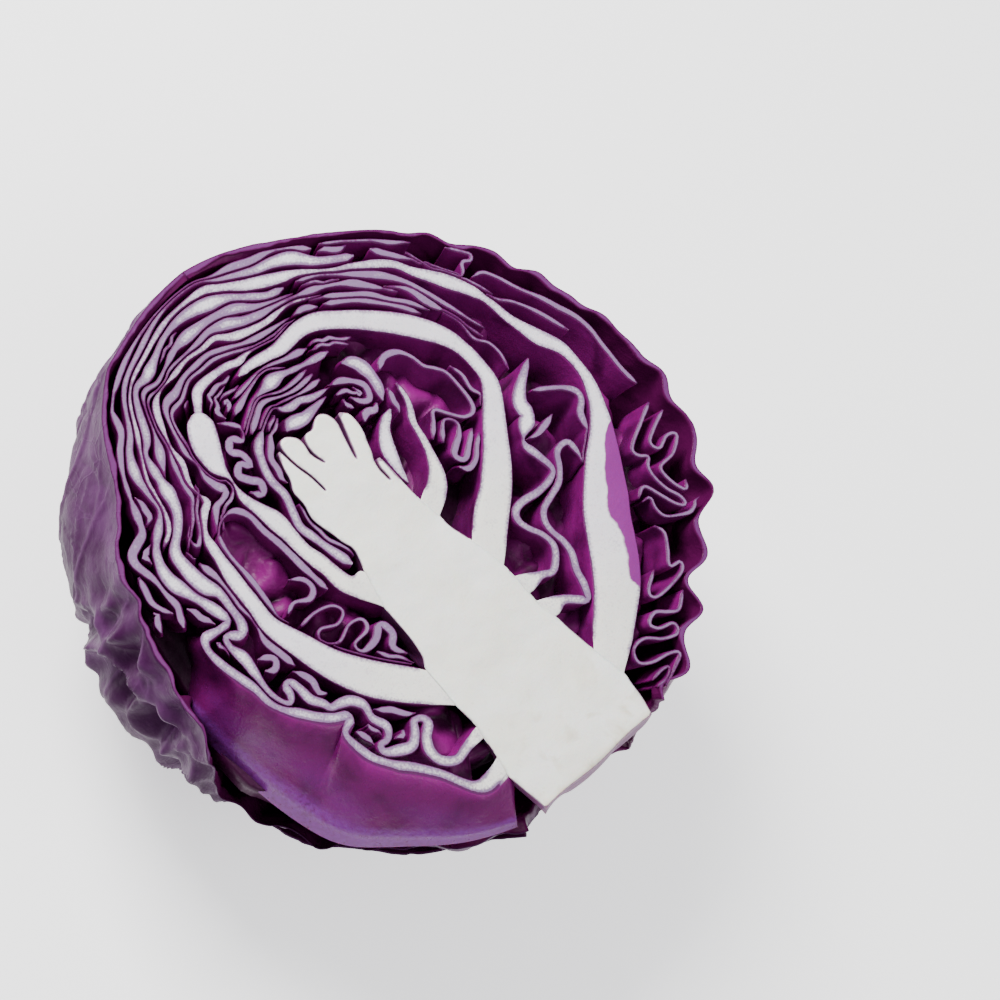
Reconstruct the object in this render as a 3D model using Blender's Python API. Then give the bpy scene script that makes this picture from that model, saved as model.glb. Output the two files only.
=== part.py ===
"""Half of a red cabbage, cut lengthways through its core and lying on its rounded back.

Metres, +Z up. The cut face is level and looks up. The core runs along +Y, its stem end at -Y.
The origin is the centre of the small flat spot that the half rests on.

The cut face is drawn first, in millimetres. Each leaf there is a ribbon: a centre line with a
thickness. Neighbouring ribbons are pushed apart until the gap between two leaves fits, and their
thickness is cut back where a neighbour is near. Below the cut face every ribbon tapers towards one
apex, so leaves that are clear of each other on the cut face stay clear all the way down. The leaves
round the outside are thin shells on one rounded skin, scaled about the centre of the cut face.
"""
import math

import bmesh
import bpy
import numpy as np

MM = 0.001

# The head, in millimetres
HEAD_DEPTH = 77.0          # cut face to the surface it rests on
TAPER_APEX = 190.0         # depth of the point that all inner leaves taper towards
TAPER_CENTRE = (0.0, 12.0)
LEAF_GAP = 0.45            # clearance between two leaves
THINNEST = 0.66            # least thickness of a leaf
SAMPLE_STEP = 1.1          # spacing of the points along a leaf
OUTLINE_TOLERANCE = 0.13   # a point that strays less than this from its chord is left out
FOLD_REACH = 5.0           # length of leaf that may lie closer to itself, round a bend
SHARPEST_BEND = 0.85       # least radius of the centre line that a full half thickness needs
CURVE_POINTS = 12          # points read off between two given points of a centre line

# Each round moves a point by this share of the room it lacks, and by no more than the limit
PUSH_SHARE = 0.35
PUSH_LIMIT = 0.4
PUSH_ROUNDS = 14
THINNING_ROUNDS = 3

# Depth of the leaves below the cut face
ARCH_DEPTH = 42.0
RIB_DEPTH = 40.0
HEART_DEPTH = 26.0
FRILL_DEPTH = 11.0

# The outermost fold at the lower left stands out below the cut face, down to its free edge
LEAN = 0.055               # outward, as a share of the distance from the taper's centre
LEAN_STARTS = 16.0         # height on the cut face where the lean begins
LEAN_FULL = -6.0           # and where it is complete
LEAN_ROOT_DEPTH = 15.0     # depth of the free edge beside the core
LEAN_DEPTH = 37.0          # and at its far end
LEAN_ROOT_X, LEAN_FAR_X = -20.0, -46.0

# The skin: angle from the stem, then its radius at the left rim, 28 degrees below the left rim,
# at the bottom and at the right rim
SKIN = (
    (12, 80.5, 84.0, 81.0, 85.5),
    (35, 81.0, 82.5, 79.0, 88.0),
    (50, 82.5, 83.0, 77.0, 86.0),
    (65, 84.5, 83.5, 75.4, 92.0),
    (80, 81.5, 84.0, 75.0, 93.0),
    (95, 76.5, 85.5, 75.2, 91.5),
    (110, 77.0, 86.5, 76.4, 89.3),
    (125, 77.5, 89.0, 78.5, 87.5),
    (140, 80.5, 88.8, 81.5, 86.0),
    (155, 88.0, 88.5, 85.0, 86.0),
    (180, 89.5, 89.5, 89.5, 89.5),
)
SKIN_TURNS = (0.0, 28.0, 90.0, 180.0)
MEAN_RADIUS = 80.0         # an inset of this much would reach the head's middle
WRAPPER_THICKNESS = 2.2
WRAPPER_GAP = 0.8

CORE_OUTLINE = (
    (-17.5, -79.0), (-18.5, -72.0), (-19.2, -65.0), (-18.6, -58.0), (-18.4, -50.0),
    (-18.8, -42.0), (-18.6, -33.0), (-17.3, -27.0), (-16.6, -21.0), (-16.4, -14.0), (-15.2, -8.0),
    (-14.2, 0.0), (-12.8, 6.0), (-13.6, 12.0), (-15.6, 18.0), (-15.6, 24.0), (-14.0, 29.0),
    (-12.6, 35.0), (-9.0, 39.0), (-5.0, 36.6), (0.0, 36.2), (4.0, 38.0), (9.0, 35.6), (11.5, 31.0),
    (10.4, 25.0), (8.6, 20.5), (9.4, 12.0), (10.6, 4.0), (12.4, -3.0), (12.8, -7.0), (14.6, -12.4),
    (17.4, -23.0), (18.0, -31.0), (18.2, -40.0), (20.0, -48.0), (22.2, -56.0), (24.6, -66.0),
    (24.4, -72.0), (23.0, -79.0),
)
# Depth below the cut face, share of the width kept, and how far the stem end stands out
CORE_LEVELS = ((0.0, 1.0, 0.0), (6.0, 0.93, 1.6), (12.0, 0.72, 2.0), (17.0, 0.36, 1.2))
STEM_KEEPS_BELOW = -60.0
STEM_BLENDS_ABOVE = -42.0

# The camera's side of the head is the left. Arches are read about this point of the cut face.
ARCH_CENTRE = (0.0, 15.0)


def arch(*readings):
    """Turns readings (angle in degrees, outer radius, inner radius) into centre points."""
    points = []
    for angle, outer, inner in readings:
        turn = math.radians(angle)
        radius = (outer + inner) / 2
        x = ARCH_CENTRE[0] + radius * math.cos(turn)
        y = ARCH_CENTRE[1] + radius * math.sin(turn)
        points.append((x, y, outer - inner))
    return tuple(points)


# Centre line of each leaf on the cut face: x, y, thickness. A leaf that grows from the core has its
# root's two corners, the one on the left of the line first.
MAIN_RIB_LEFT = (
    (-20, -37, 9), (-26, -31, 9.5), (-33, -23.5, 9.5), (-38.5, -15, 8), (-42.5, -5, 6.5),
    (-45, 3, 5), (-45, 11, 4), (-44.8, 18, 4.2), (-44, 25, 3), (-43, 31, 2),
) + arch((153, 45.6, 44), (150, 44.6, 43.4), (147.5, 43.8, 42.6), (143.5, 46.8, 45.6),
         (140, 48.6, 47.2), (135, 50.3, 48.9), (130, 54.2, 52.6), (120, 60.2, 58.6),
         (110, 58.8, 57.1), (105, 58.4, 56.4), (100, 56.8, 55.3), (95, 56.4, 54.9),
         (90, 53.4, 52), (80, 52.2, 50.8), (70, 54.4, 53.5), (60, 55.4, 54.4))
SECOND_RIB_LEFT = (
    (-18.6, -7, 5), (-21.5, 0, 5), (-22.5, 6, 4), (-24, 12, 3), (-24.5, 18, 3.5), (-25, 23, 4.5),
    (-26.5, 28, 3), (-28, 33, 2.2), (-27.5, 39, 2.6), (-28, 44, 5), (-26.6, 50, 7.6),
    (-24, 55, 7), (-21, 59.5, 3), (-17.4, 62.6, 1.6),
) + arch((100, 49, 48.2), (95, 47.7, 46.3), (90, 47.8, 46.4), (80, 46.9, 46.1), (72, 47.4, 46.6))
THIRD_RIB_LEFT = (
    (-16, 2, 1.8), (-18, 8, 1.8), (-19.5, 14, 1.6), (-20.5, 18, 1.6), (-19.5, 22, 1.2),
    (-18.2, 27, 1.2), (-18.6, 32, 1.2), (-17.4, 37, 1.2), (-14.6, 41.5, 1.4),
) + arch((100, 33.2, 30.7), (95, 31, 28.8), (90, 30.2, 27.7), (85, 30.4, 27.8), (78, 29, 27.4),
         (66, 30, 28.8))
OUTER_FOLD_LEFT = (
    (-20.4, -62.4, 4), (-26, -64, 4), (-29.5, -62.5, 3), (-32, -59, 2.6), (-35, -54, 2.6),
    (-39, -49, 2.6), (-43, -45, 2.4), (-46.5, -40, 2.4), (-48, -35, 2.4), (-48.5, -31, 1.8),
    (-47, -29.5, 1.6), (-44, -28.4, 1.8), (-45, -27, 1.8), (-48, -25.5, 2.4), (-51, -23, 2.6),
    (-54, -19.5, 2.6), (-57, -16, 2.6), (-59, -12, 2.6), (-59.5, -7, 2.6), (-61, -2, 2.6),
    (-62.5, 3, 2.4), (-63, 8, 2), (-61.8, 10.8, 1.8), (-60, 11, 1.8), (-57, 10.5, 1.8),
    (-54, 10.5, 1.8), (-53.5, 12, 2), (-55, 17, 2.4), (-57, 22, 3), (-58.5, 27, 4.4),
    (-58.5, 31, 3), (-57, 35, 2), (-54.6, 38, 1.6),
) + arch((150, 57, 56), (145, 59.6, 58.1), (140, 63.2, 60.6), (135, 64.2, 63),
         (130, 64.8, 63.4), (120, 68.9, 68), (110, 69.6, 68.5), (100, 71, 69.4), (90, 70.6, 69.4),
         (85, 68.2, 67.2), (80, 66.9, 65.6), (75, 66.4, 64.8), (70, 67.2, 65.2), (65, 67.5, 64.6),
         (60, 65.2, 63.7), (55, 65.2, 64.2), (50, 66.6, 65.6))
INNER_FOLD_LEFT = (
    (-19.6, -53, 3), (-24, -53.5, 3), (-28.5, -54.3, 2.6), (-32, -52, 2.4), (-33, -48.5, 2.2),
    (-31.5, -45, 2.2), (-28.5, -42.5, 2), (-28.6, -40.4, 1.6), (-31, -39.5, 1.6),
    (-33, -42, 1.8), (-36, -44, 2), (-40, -42.5, 2), (-43, -40.6, 1.6), (-42.6, -38.6, 1.6),
    (-40, -38.6, 1.6), (-38, -36, 1.8), (-39.5, -32, 2), (-39, -28, 2), (-41, -25, 1.8),
    (-44, -23.7, 1.8), (-46.6, -23, 1.6), (-47.5, -21, 1.8), (-49.5, -18, 1.8),
    (-50, -14, 1.6), (-51, -11, 1.6), (-52.5, -11.5, 1.6), (-53, -14, 1.8), (-54.5, -15.5, 1.8),
    (-56.3, -13, 2), (-57, -9, 2), (-56.8, -4, 2.2), (-56.5, 1, 2.8), (-57.5, 5, 2),
    (-57, 7.8, 1.6), (-55.5, 7.5, 1.6), (-53, 6, 1.8), (-51, 8, 1.8), (-50.5, 13, 2.4),
    (-50.5, 18, 3.4), (-52.5, 22, 5), (-53, 28, 3), (-52.4, 33, 2.2),
) + arch((155, 53.6, 51.6), (150, 52.6, 50.9), (145, 54.5, 51.6), (142.5, 56.8, 52),
         (135, 59.8, 58.2), (130, 60.4, 58.6), (120, 66, 64.4), (115, 65.3, 63), (110, 65.6, 63.6),
         (105, 66, 65), (100, 66.6, 64.8), (95, 66.6, 63.4), (90, 65.4, 61.8), (85, 63.2, 61),
         (80, 60.6, 58.8), (75, 59, 57.2), (70, 59.2, 58))
LOOSE_LEFT = (
    (-64, 16.6, 1.2), (-62.8, 19.4, 1.2), (-61.6, 22, 1.2), (-61.8, 26, 1.3), (-61.8, 31, 1.3),
    (-63, 36.5, 1.3), (-62, 39.2, 1.3), (-59, 40.6, 1.3), (-56, 42, 1.3), (-54.4, 45.6, 1.4),
) + arch((145, 64.2, 63.4), (140, 65.6, 64.8), (135, 66.6, 65.6), (130, 66.9, 66),
         (125, 70.6, 69.8), (120, 71, 70.2), (115, 71.3, 70.5), (110, 71.4, 70.6),
         (105, 71.5, 70.7), (100, 71.5, 70.8), (95, 71.4, 70.6), (90, 71, 70.2),
         (85, 69.6, 68.8), (80, 69.4, 68.3), (75, 69, 67.9), (70, 69.7, 68.8), (65, 69.6, 68.8),
         (60, 68.8, 67.4))
POCKET_LEFT = (
    (-42, 0, 1), (-41.6, 8, 1), (-41.2, 16, 1), (-41.4, 24, 1), (-40, 29.5, 1), (-36.5, 32, 1),
    (-32.6, 32, 1), (-30, 28.6, 1), (-29.4, 23, 1), (-28.2, 17, 1), (-27.6, 11, 1), (-27, 6, 1),
    (-26.2, 1, 1),
)
TANGLE_LEFT = (
    (-38.5, -2, 1), (-33, -1.6, 1), (-28, -3, 1), (-26.6, -6, 1), (-30, -7.6, 1), (-35, -5.8, 1),
    (-36.8, -8.4, 1), (-33, -11.4, 1), (-27.6, -9.6, 1), (-23.8, -10.6, 1), (-24.6, -13.6, 1),
    (-30, -14.4, 1), (-29.4, -17.2, 1), (-24.6, -17, 1), (-20.8, -14.6, 1), (-19.6, -18.4, 1),
    (-22, -21.4, 1), (-20, -25, 1),
)
INNER_RIB_RIGHT = (
    (17.2, -17.6, 9), (21, -14.4, 9.4), (25.6, -10.6, 9.4), (30.5, -7, 8.6), (35.5, -2, 8),
    (39.5, 2.6, 7), (43.5, 7.6, 6.4), (47.6, 12.6, 5.6), (50.2, 17, 4.8), (50.8, 21.6, 3.8),
    (50.4, 27, 4), (48.6, 32.6, 5), (44.6, 38.6, 6), (39.4, 44.2, 6), (33.6, 49.4, 5.6),
    (27.4, 54, 5), (21.4, 57.6, 5), (15.6, 58.8, 4.4), (8, 58, 4), (3, 58.6, 2.4), (-2, 59.2, 1.6),
    (-6.6, 58.8, 1.2),
)
OUTER_RIB_RIGHT = (
    (25.2, -60, 11), (31, -55, 10.6), (36, -50.4, 10), (41, -45, 9.6), (46, -38, 9.4),
    (50.6, -31, 9), (55.6, -25, 8.6), (61, -19, 8), (66.6, -13, 6.4), (71, -7, 4.6),
    (73.8, 0, 3.6), (74.4, 6, 3.2), (73.6, 12, 3.4), (70.4, 18, 4), (67.6, 25, 3),
    (65.6, 33, 2.6), (63, 39.4, 3.4), (58.6, 46, 4), (53.6, 52.4, 2.4), (49.6, 58, 1.6),
) + arch((50, 63.8, 62.6), (55, 62.6, 61.2), (60, 62.4, 60.8), (65, 62.8, 60.9), (70, 63, 60.4),
         (75, 63.4, 60.6), (80, 64.4, 61.8), (85, 66.2, 64.4), (90, 68.2, 66.6), (100, 68.4, 67.4),
         (110, 67.6, 66.7), (120, 67.2, 66.4), (130, 62.6, 61.5), (140, 59.6, 58.6),
         (145, 57.4, 56.4), (150, 55.5, 54.5), (155, 55.6, 54.6), (159, 58.4, 57.4))
FINGER_RIGHT = (
    (11.8, 9, 1.4), (12.2, 14, 2.4), (13.6, 19.6, 3.6), (17, 24.6, 2.4), (21.6, 27.4, 1.2),
)
LENS_RIGHT = (
    (13.2, 0.4, 6), (17, 3, 6), (20, 6.6, 4.4), (22, 11, 3), (23.4, 16, 2.4), (24.4, 21, 2),
    (27, 26, 1.8), (28, 32, 1.4),
)
INNER_FOLD_RIGHT = (
    (19.2, -30.6, 2.4), (25, -32, 2.2), (28, -33.2, 2.2), (31, -31.5, 2.2), (33.5, -28, 2),
    (33, -24, 2), (31, -20.5, 2), (30, -17, 2), (31.5, -14.5, 2), (35, -13.8, 2), (40, -14.4, 2),
    (45, -14, 2), (48, -12.2, 1.8), (47, -7, 2), (46, -2.5, 2), (48.5, 0.5, 2.4), (52.4, 3, 3),
    (53.2, 7, 3), (56, 10, 2.6), (60, 12.6, 2), (64, 15, 1.6),
)
OUTER_FOLD_RIGHT = (
    (20, -38.6, 2.4), (25, -40.5, 2.4), (29, -43.5, 2.2), (31, -45, 2), (33, -41, 2),
    (34, -37, 2), (36, -33, 2), (36.5, -29, 2), (35.8, -25, 2), (36.2, -21.4, 2), (38.5, -18.9, 2),
    (43, -17.4, 2), (47, -16, 2), (50, -13, 2), (51.8, -10, 2), (54, -8.8, 2), (56.8, -9.2, 2),
    (57.3, -12, 2), (57, -16, 1.8), (58.4, -18.6, 1.6), (60.4, -18, 1.6), (62.2, -14, 1.8),
    (64, -10, 1.8), (65.6, -5.4, 1.8), (68.3, -3, 1.6), (69, -0.4, 1.6), (66.8, 2.6, 1.6),
    (62.6, 5.4, 1.6), (58.6, 7.6, 1.6),
)
CRUMPLE_RIGHT = (
    (25.6, 14, 1.2), (29, 17.4, 1.2), (31.4, 20, 1.2), (33.8, 17.4, 1.2), (37, 13.7, 1.2),
    (40, 13, 1.2), (41.6, 15, 1.2), (42, 20, 1.2), (41.5, 25.6, 1.2), (39.6, 28.6, 1.2),
    (37.5, 31, 1.2), (36.4, 35, 1.2), (34, 38.3, 1.2), (30, 39.3, 1.2), (26.4, 37.2, 1.2),
)
HOOK_RIGHT = (
    (57.2, 16, 1), (58.4, 20.5, 1), (57.8, 25, 1), (55.2, 28.4, 1), (54.6, 34, 1), (52.6, 39, 1),
)
SHOULDER_RIGHT_1 = (
    (55.6, 58, 1.4), (57.5, 53, 1.3), (59.2, 48.4, 1.2), (62.6, 44, 1.2), (65, 44, 1.2),
    (67, 46.4, 1.2), (69.6, 45.4, 1.2), (70.4, 47.4, 1.2), (67.4, 50.8, 1.2), (66, 53, 1.2),
)
SHOULDER_RIGHT_2 = (
    (66.6, 41.6, 1.2), (70, 40.8, 1.2), (72.6, 37, 1.2), (75, 32, 1.2), (78.6, 26, 1.2),
    (81, 21, 1.3), (83.4, 16.4, 1.4), (84.8, 11, 1.5), (84.6, 4, 1.5), (84.4, -3, 1.5),
    (85.2, -9, 1.4),
)
SHOULDER_RIGHT_3 = (
    (66.4, 35.6, 1), (68.4, 32.4, 1), (71, 30, 1), (74, 25.6, 1), (77, 19.6, 1), (79.4, 14, 1),
)
FRILL_RIGHT_1 = (
    (84, -15, 1.1), (78, -17.8, 1.1), (73, -20.2, 1.1), (70.4, -22.2, 1.1), (71, -24.4, 1.1),
    (73, -26.2, 1.1), (71, -28.2, 1.1), (70.4, -31.6, 1.1), (71.2, -36, 1.1), (73, -40, 1.1),
    (72.6, -42.6, 1.1), (70.4, -40.6, 1.1), (68.2, -35.6, 1.1), (66, -31.6, 1.1),
    (62.4, -33.2, 1.1),
)
FRILL_RIGHT_2 = (
    (86, -19, 1.1), (80, -21.4, 1.1), (76.4, -23.6, 1.1), (77.6, -26.4, 1.1), (82, -25, 1.1),
    (84.6, -26.6, 1.1), (80, -29.8, 1.1), (74, -30.6, 1.1), (74, -35.6, 1.1), (76, -39.6, 1.1),
    (77.8, -37.4, 1.1),
)
FRILL_RIGHT_3 = (
    (61, -41.5, 1.1), (62, -44.6, 1.1), (59.6, -48.6, 1.1), (56.6, -52.4, 1.1), (60, -53.4, 1.1),
    (58.4, -55.6, 1.1), (52, -56.6, 1.1), (47, -56.2, 1.1), (46.8, -53.8, 1.1), (52, -50.4, 1.1),
)
FRILL_RIGHT_4 = (
    (55, -59.6, 1.1), (50.4, -62.8, 1.1), (47, -61.2, 1.1), (44, -59.2, 1.1), (40.6, -60.6, 1.1),
    (42, -63.2, 1.1), (46.4, -64.6, 1.1), (45.6, -67.4, 1.1), (41, -66, 1.1), (36.4, -62.6, 1.1),
    (32, -63, 1.1), (30.6, -66.4, 1.1), (34, -68.8, 1.1), (39.6, -70, 1.1), (42, -71.8, 1.1),
    (38, -74.6, 1.1), (32.4, -76, 1.1),
)
ARCH_1 = arch((140, 54.3, 53.4), (135, 55.8, 54.3), (130, 57.4, 55.8), (120, 63.6, 62.4),
              (115, 61.6, 60.4), (110, 61.6, 60.4), (105, 62.3, 60.8), (100, 62.3, 60),
              (95, 61.6, 59.6), (90, 60.6, 59.2), (85, 60.2, 57.2), (80, 57.6, 55.8),
              (75, 56.6, 55.6), (68, 57, 56))
ARCH_2 = arch((159, 43.2, 42.2), (155, 42.6, 41.4), (150, 41.6, 40.4), (147.4, 39.6, 38.4),
              (144, 38.6, 37), (142, 42, 38.6), (139, 45.4, 41), (135, 46, 44.8), (131, 50, 49),
              (121, 57, 55.8), (115, 56.5, 54.8), (110, 56.2, 55), (105, 55.4, 54),
              (100, 54.6, 53.2), (95, 53.2, 50.6), (90, 50.9, 49), (85, 49.8, 48.4),
              (80, 50, 48.2), (72, 51, 49.6))
ARCH_3 = arch((116, 36, 34.6), (110, 36.8, 35.2), (102, 38, 36.4), (95, 38.8, 35.3), (90, 39.6, 35),
              (85, 39, 35.8), (80, 37.6, 36.4), (70, 38, 37), (62, 39.6, 38.6))
ARCH_4 = arch((106, 42, 41), (100, 41.8, 40.6), (90, 42, 41), (80, 41, 39.9), (70, 41.6, 40.6))

FLESH = (0.80, 0.76, 0.79)
WHITE_RIB = (0.86, 0.85, 0.83)
CORE_CREAM = (0.88, 0.88, 0.83)
MAGENTA = (0.30, 0.02, 0.17)
VIOLET_GREY = (0.19, 0.09, 0.19)
DARK_WINE = (0.11, 0.01, 0.07)
LEAF_ROUGHNESS = 0.4
SKIN_ROUGHNESS = 0.5

# Name: centre line, root corners, depth, colour
LEAVES = {
    "leaf_left_main_rib": (MAIN_RIB_LEFT, ((-19.1, -43.4), (-19.0, -31.4)), RIB_DEPTH, WHITE_RIB),
    "leaf_left_second_rib": (SECOND_RIB_LEFT, ((-16.9, -11.8), (-14.9, -1.6)), RIB_DEPTH, WHITE_RIB),
    "leaf_left_third_rib": (THIRD_RIB_LEFT, None, HEART_DEPTH, FLESH),
    "leaf_left_outer_fold": (OUTER_FOLD_LEFT, ((-19.7, -65.4), (-19.3, -60.6)), ARCH_DEPTH, FLESH),
    "leaf_left_inner_fold": (INNER_FOLD_LEFT, ((-18.9, -54.6), (-18.9, -51.2)), ARCH_DEPTH, FLESH),
    "leaf_left_loose": (LOOSE_LEFT, None, RIB_DEPTH, MAGENTA),
    "leaf_left_pocket": (POCKET_LEFT, None, HEART_DEPTH, MAGENTA),
    "leaf_left_tangle": (TANGLE_LEFT, None, HEART_DEPTH, DARK_WINE),
    "leaf_right_inner_rib": (INNER_RIB_RIGHT, ((15.3, -13.2), (17.8, -23.6)), RIB_DEPTH, WHITE_RIB),
    "leaf_right_outer_rib": (OUTER_RIB_RIGHT, ((22.6, -56.0), (25.1, -66.0)), ARCH_DEPTH, WHITE_RIB),
    "leaf_right_finger": (FINGER_RIGHT, None, HEART_DEPTH, WHITE_RIB),
    "leaf_right_lens": (LENS_RIGHT, ((11.3, 3.6), (12.8, -2.8)), HEART_DEPTH, WHITE_RIB),
    "leaf_right_inner_fold": (INNER_FOLD_RIGHT, ((18.4, -29.4), (18.4, -31.8)), RIB_DEPTH, FLESH),
    "leaf_right_outer_fold": (OUTER_FOLD_RIGHT, ((18.7, -37.4), (19.2, -39.8)), RIB_DEPTH, FLESH),
    "leaf_right_crumple": (CRUMPLE_RIGHT, None, HEART_DEPTH, MAGENTA),
    "leaf_right_hook": (HOOK_RIGHT, None, HEART_DEPTH, MAGENTA),
    "leaf_right_shoulder_1": (SHOULDER_RIGHT_1, None, HEART_DEPTH, MAGENTA),
    "leaf_right_shoulder_2": (SHOULDER_RIGHT_2, None, HEART_DEPTH, MAGENTA),
    "leaf_right_shoulder_3": (SHOULDER_RIGHT_3, None, HEART_DEPTH, MAGENTA),
    "leaf_right_frill_1": (FRILL_RIGHT_1, None, FRILL_DEPTH, MAGENTA),
    "leaf_right_frill_2": (FRILL_RIGHT_2, None, FRILL_DEPTH, MAGENTA),
    "leaf_right_frill_3": (FRILL_RIGHT_3, None, FRILL_DEPTH, MAGENTA),
    "leaf_right_frill_4": (FRILL_RIGHT_4, None, FRILL_DEPTH, MAGENTA),
    "leaf_arch_1": (ARCH_1, None, RIB_DEPTH, FLESH),
    "leaf_arch_2": (ARCH_2, None, RIB_DEPTH, FLESH),
    "leaf_arch_3": (ARCH_3, None, HEART_DEPTH, FLESH),
    "leaf_arch_4": (ARCH_4, None, HEART_DEPTH, FLESH),
}

LEANING_LEAF = "leaf_left_outer_fold"

# Name: angles from the stem, turns from the left rim, layer, colour. Layer 1 lies outside layer 0.
WRAPPERS = {
    "leaf_wrapper_left": ((16.0, 178.0), (0.0, 84.0), 0, VIOLET_GREY),
    "leaf_wrapper_right": ((20.5, 172.0), (90.0, 180.0), 0, MAGENTA),
    "leaf_wrapper_back": ((17.0, 152.0), (34.0, 142.0), 1, VIOLET_GREY),
}
WRAPPER_STEP = 8.5         # degrees between two rows of a wrapper's points
# Below this angle from the stem the left wrapper's rim drops away from the cut face
RIM_DROP_FROM = 84.0
RIM_DROP_OVER = 34.0
RIM_DROP = 13.0
# The wrappers' rims as lines that no leaf may touch: angles from the stem, their step, thickness
RIM_SPAN = (24.0, 178.0)
RIM_STEP = 0.8
RIM_LINE = 0.02


def remove_everything():
    """Empties the scene."""
    for item in list(bpy.data.objects):
        bpy.data.objects.remove(item, do_unlink=True)


def make_material(name, colour, roughness):
    """A plain surface of one colour."""
    material = bpy.data.materials.new(name)
    material.use_nodes = True
    shader = material.node_tree.nodes["Principled BSDF"]
    shader.inputs["Base Color"].default_value = (*colour, 1.0)
    shader.inputs["Roughness"].default_value = roughness
    shader.inputs["Metallic"].default_value = 0.0
    material.diffuse_color = (*colour, 1.0)
    return material


def make_object(name, vertices, faces, colour, roughness):
    """Puts a closed mesh, given in millimetres below and about the cut face, into the scene."""
    mesh = bpy.data.meshes.new(name)
    lifted = [(x * MM, y * MM, (z + HEAD_DEPTH) * MM) for x, y, z in vertices]
    mesh.from_pydata(lifted, [], faces)
    builder = bmesh.new()
    builder.from_mesh(mesh)
    bmesh.ops.recalc_face_normals(builder, faces=builder.faces)
    builder.to_mesh(mesh)
    builder.free()
    mesh.materials.append(make_material(name, colour, roughness))
    item = bpy.data.objects.new(name, mesh)
    bpy.context.scene.collection.objects.link(item)
    return item


def smooth_line(points):
    """Passes a Catmull-Rom curve through the points and reads it off at even spacing."""
    knots = np.array(points, float)
    padded = np.vstack([2 * knots[0] - knots[1], knots, 2 * knots[-1] - knots[-2]])
    t = np.linspace(0, 1, CURVE_POINTS, endpoint=False)[:, None]
    pieces = []
    for a, b, c, d in zip(padded, padded[1:], padded[2:], padded[3:]):
        pieces.append(0.5 * (2 * b + (c - a) * t + (2 * a - 5 * b + 4 * c - d) * t ** 2
                             + (3 * b - a - 3 * c + d) * t ** 3))
    curve = np.vstack(pieces + [knots[-1:]])
    lengths = np.hypot(*np.diff(curve[:, :2], axis=0).T)
    along = np.concatenate([[0], np.cumsum(lengths)])
    count = max(4, int(round(along[-1] / SAMPLE_STEP)) + 1)
    stops = np.linspace(0, along[-1], count)
    line = np.column_stack([np.interp(stops, along, curve[:, k]) for k in range(3)])
    line[:, 2] = np.maximum(line[:, 2], THINNEST)
    return line


def pair_table(lines):
    """Joins all lines, and says which pairs of points count as neighbours of different leaves."""
    points = np.vstack(lines)
    owner = np.concatenate([np.full(len(line), k) for k, line in enumerate(lines)])
    place = np.concatenate([np.arange(len(line)) for line in lines]) * SAMPLE_STEP
    same = owner[:, None] == owner[None, :]
    near_along = np.abs(place[:, None] - place[None, :]) < FOLD_REACH
    return points, owner, ~(same & near_along)


def distances(points):
    """Distance between every two points of the cut face."""
    offsets = points[:, None, :2] - points[None, :, :2]
    return offsets, np.hypot(offsets[..., 0], offsets[..., 1])


def push_apart(lines, fixed):
    """Moves leaf points away from neighbours that leave no room for two thin blades."""
    room = THINNEST + LEAF_GAP
    for _ in range(PUSH_ROUNDS):
        points, owner, counts = pair_table(lines + fixed)
        offsets, reach = distances(points)
        lack = np.where(counts & (reach < room), room - reach, 0.0)
        away = offsets / np.maximum(reach, 1e-6)[..., None]
        push = PUSH_SHARE * (away * lack[..., None]).sum(axis=1)
        strongest = np.maximum(np.hypot(*push.T), 1e-9)
        push *= np.minimum(1.0, PUSH_LIMIT / strongest)[:, None]
        lines = [line.copy() for line in lines]
        for k, line in enumerate(lines):
            line[:, :2] += push[owner == k]
    return lines


def fit_thickness(lines, fixed):
    """Thins each leaf where it and its neighbour together would fill the gap between them."""
    for _ in range(THINNING_ROUNDS):
        points, owner, counts = pair_table(lines + fixed)
        _, reach = distances(points)
        halves = points[:, 2] / 2
        both = halves[:, None] + halves[None, :]
        share = np.where(counts, (reach - LEAF_GAP) / np.maximum(both, 1e-6), 1.0)
        keep = np.clip(share.min(axis=1), 0.0, 1.0)
        lines = [line.copy() for line in lines]
        for k, line in enumerate(lines):
            line[:, 2] = np.maximum(line[:, 2] * keep[owner == k], THINNEST * 0.9)
    return lines


def edges_of(line):
    """The two edges of a ribbon, left of its direction first. Tight bends are kept open."""
    centre = line[:, :2]
    ahead = np.gradient(centre, axis=0)
    ahead /= np.hypot(*ahead.T)[:, None]
    side = np.column_stack([-ahead[:, 1], ahead[:, 0]])
    turn = np.abs(np.cross(ahead[:-1], ahead[1:]))
    bend = np.concatenate([turn[:1], np.maximum(turn[:-1], turn[1:]), turn[-1:]]) / SAMPLE_STEP
    half = np.minimum(line[:, 2] / 2, SHARPEST_BEND / np.maximum(bend, 1e-3))
    return centre + side * half[:, None], centre - side * half[:, None]


def thin_out(edge):
    """Leaves out the points of an open line that lie within the tolerance of their chord."""
    kept = [0, len(edge) - 1]
    spans = [(0, len(edge) - 1)]
    while spans:
        first, last = spans.pop()
        if last - first < 2:
            continue
        chord = edge[last] - edge[first]
        inner = edge[first + 1:last] - edge[first]
        length = max(float(np.hypot(*chord)), 1e-9)
        share = np.clip((inner @ chord) / length ** 2, 0, 1)
        stray = np.hypot(*(inner - share[:, None] * chord).T)
        worst = int(stray.argmax())
        if stray[worst] > OUTLINE_TOLERANCE:
            middle = first + 1 + worst
            kept.append(middle)
            spans += [(first, middle), (middle, last)]
    return edge[sorted(kept)]


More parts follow.
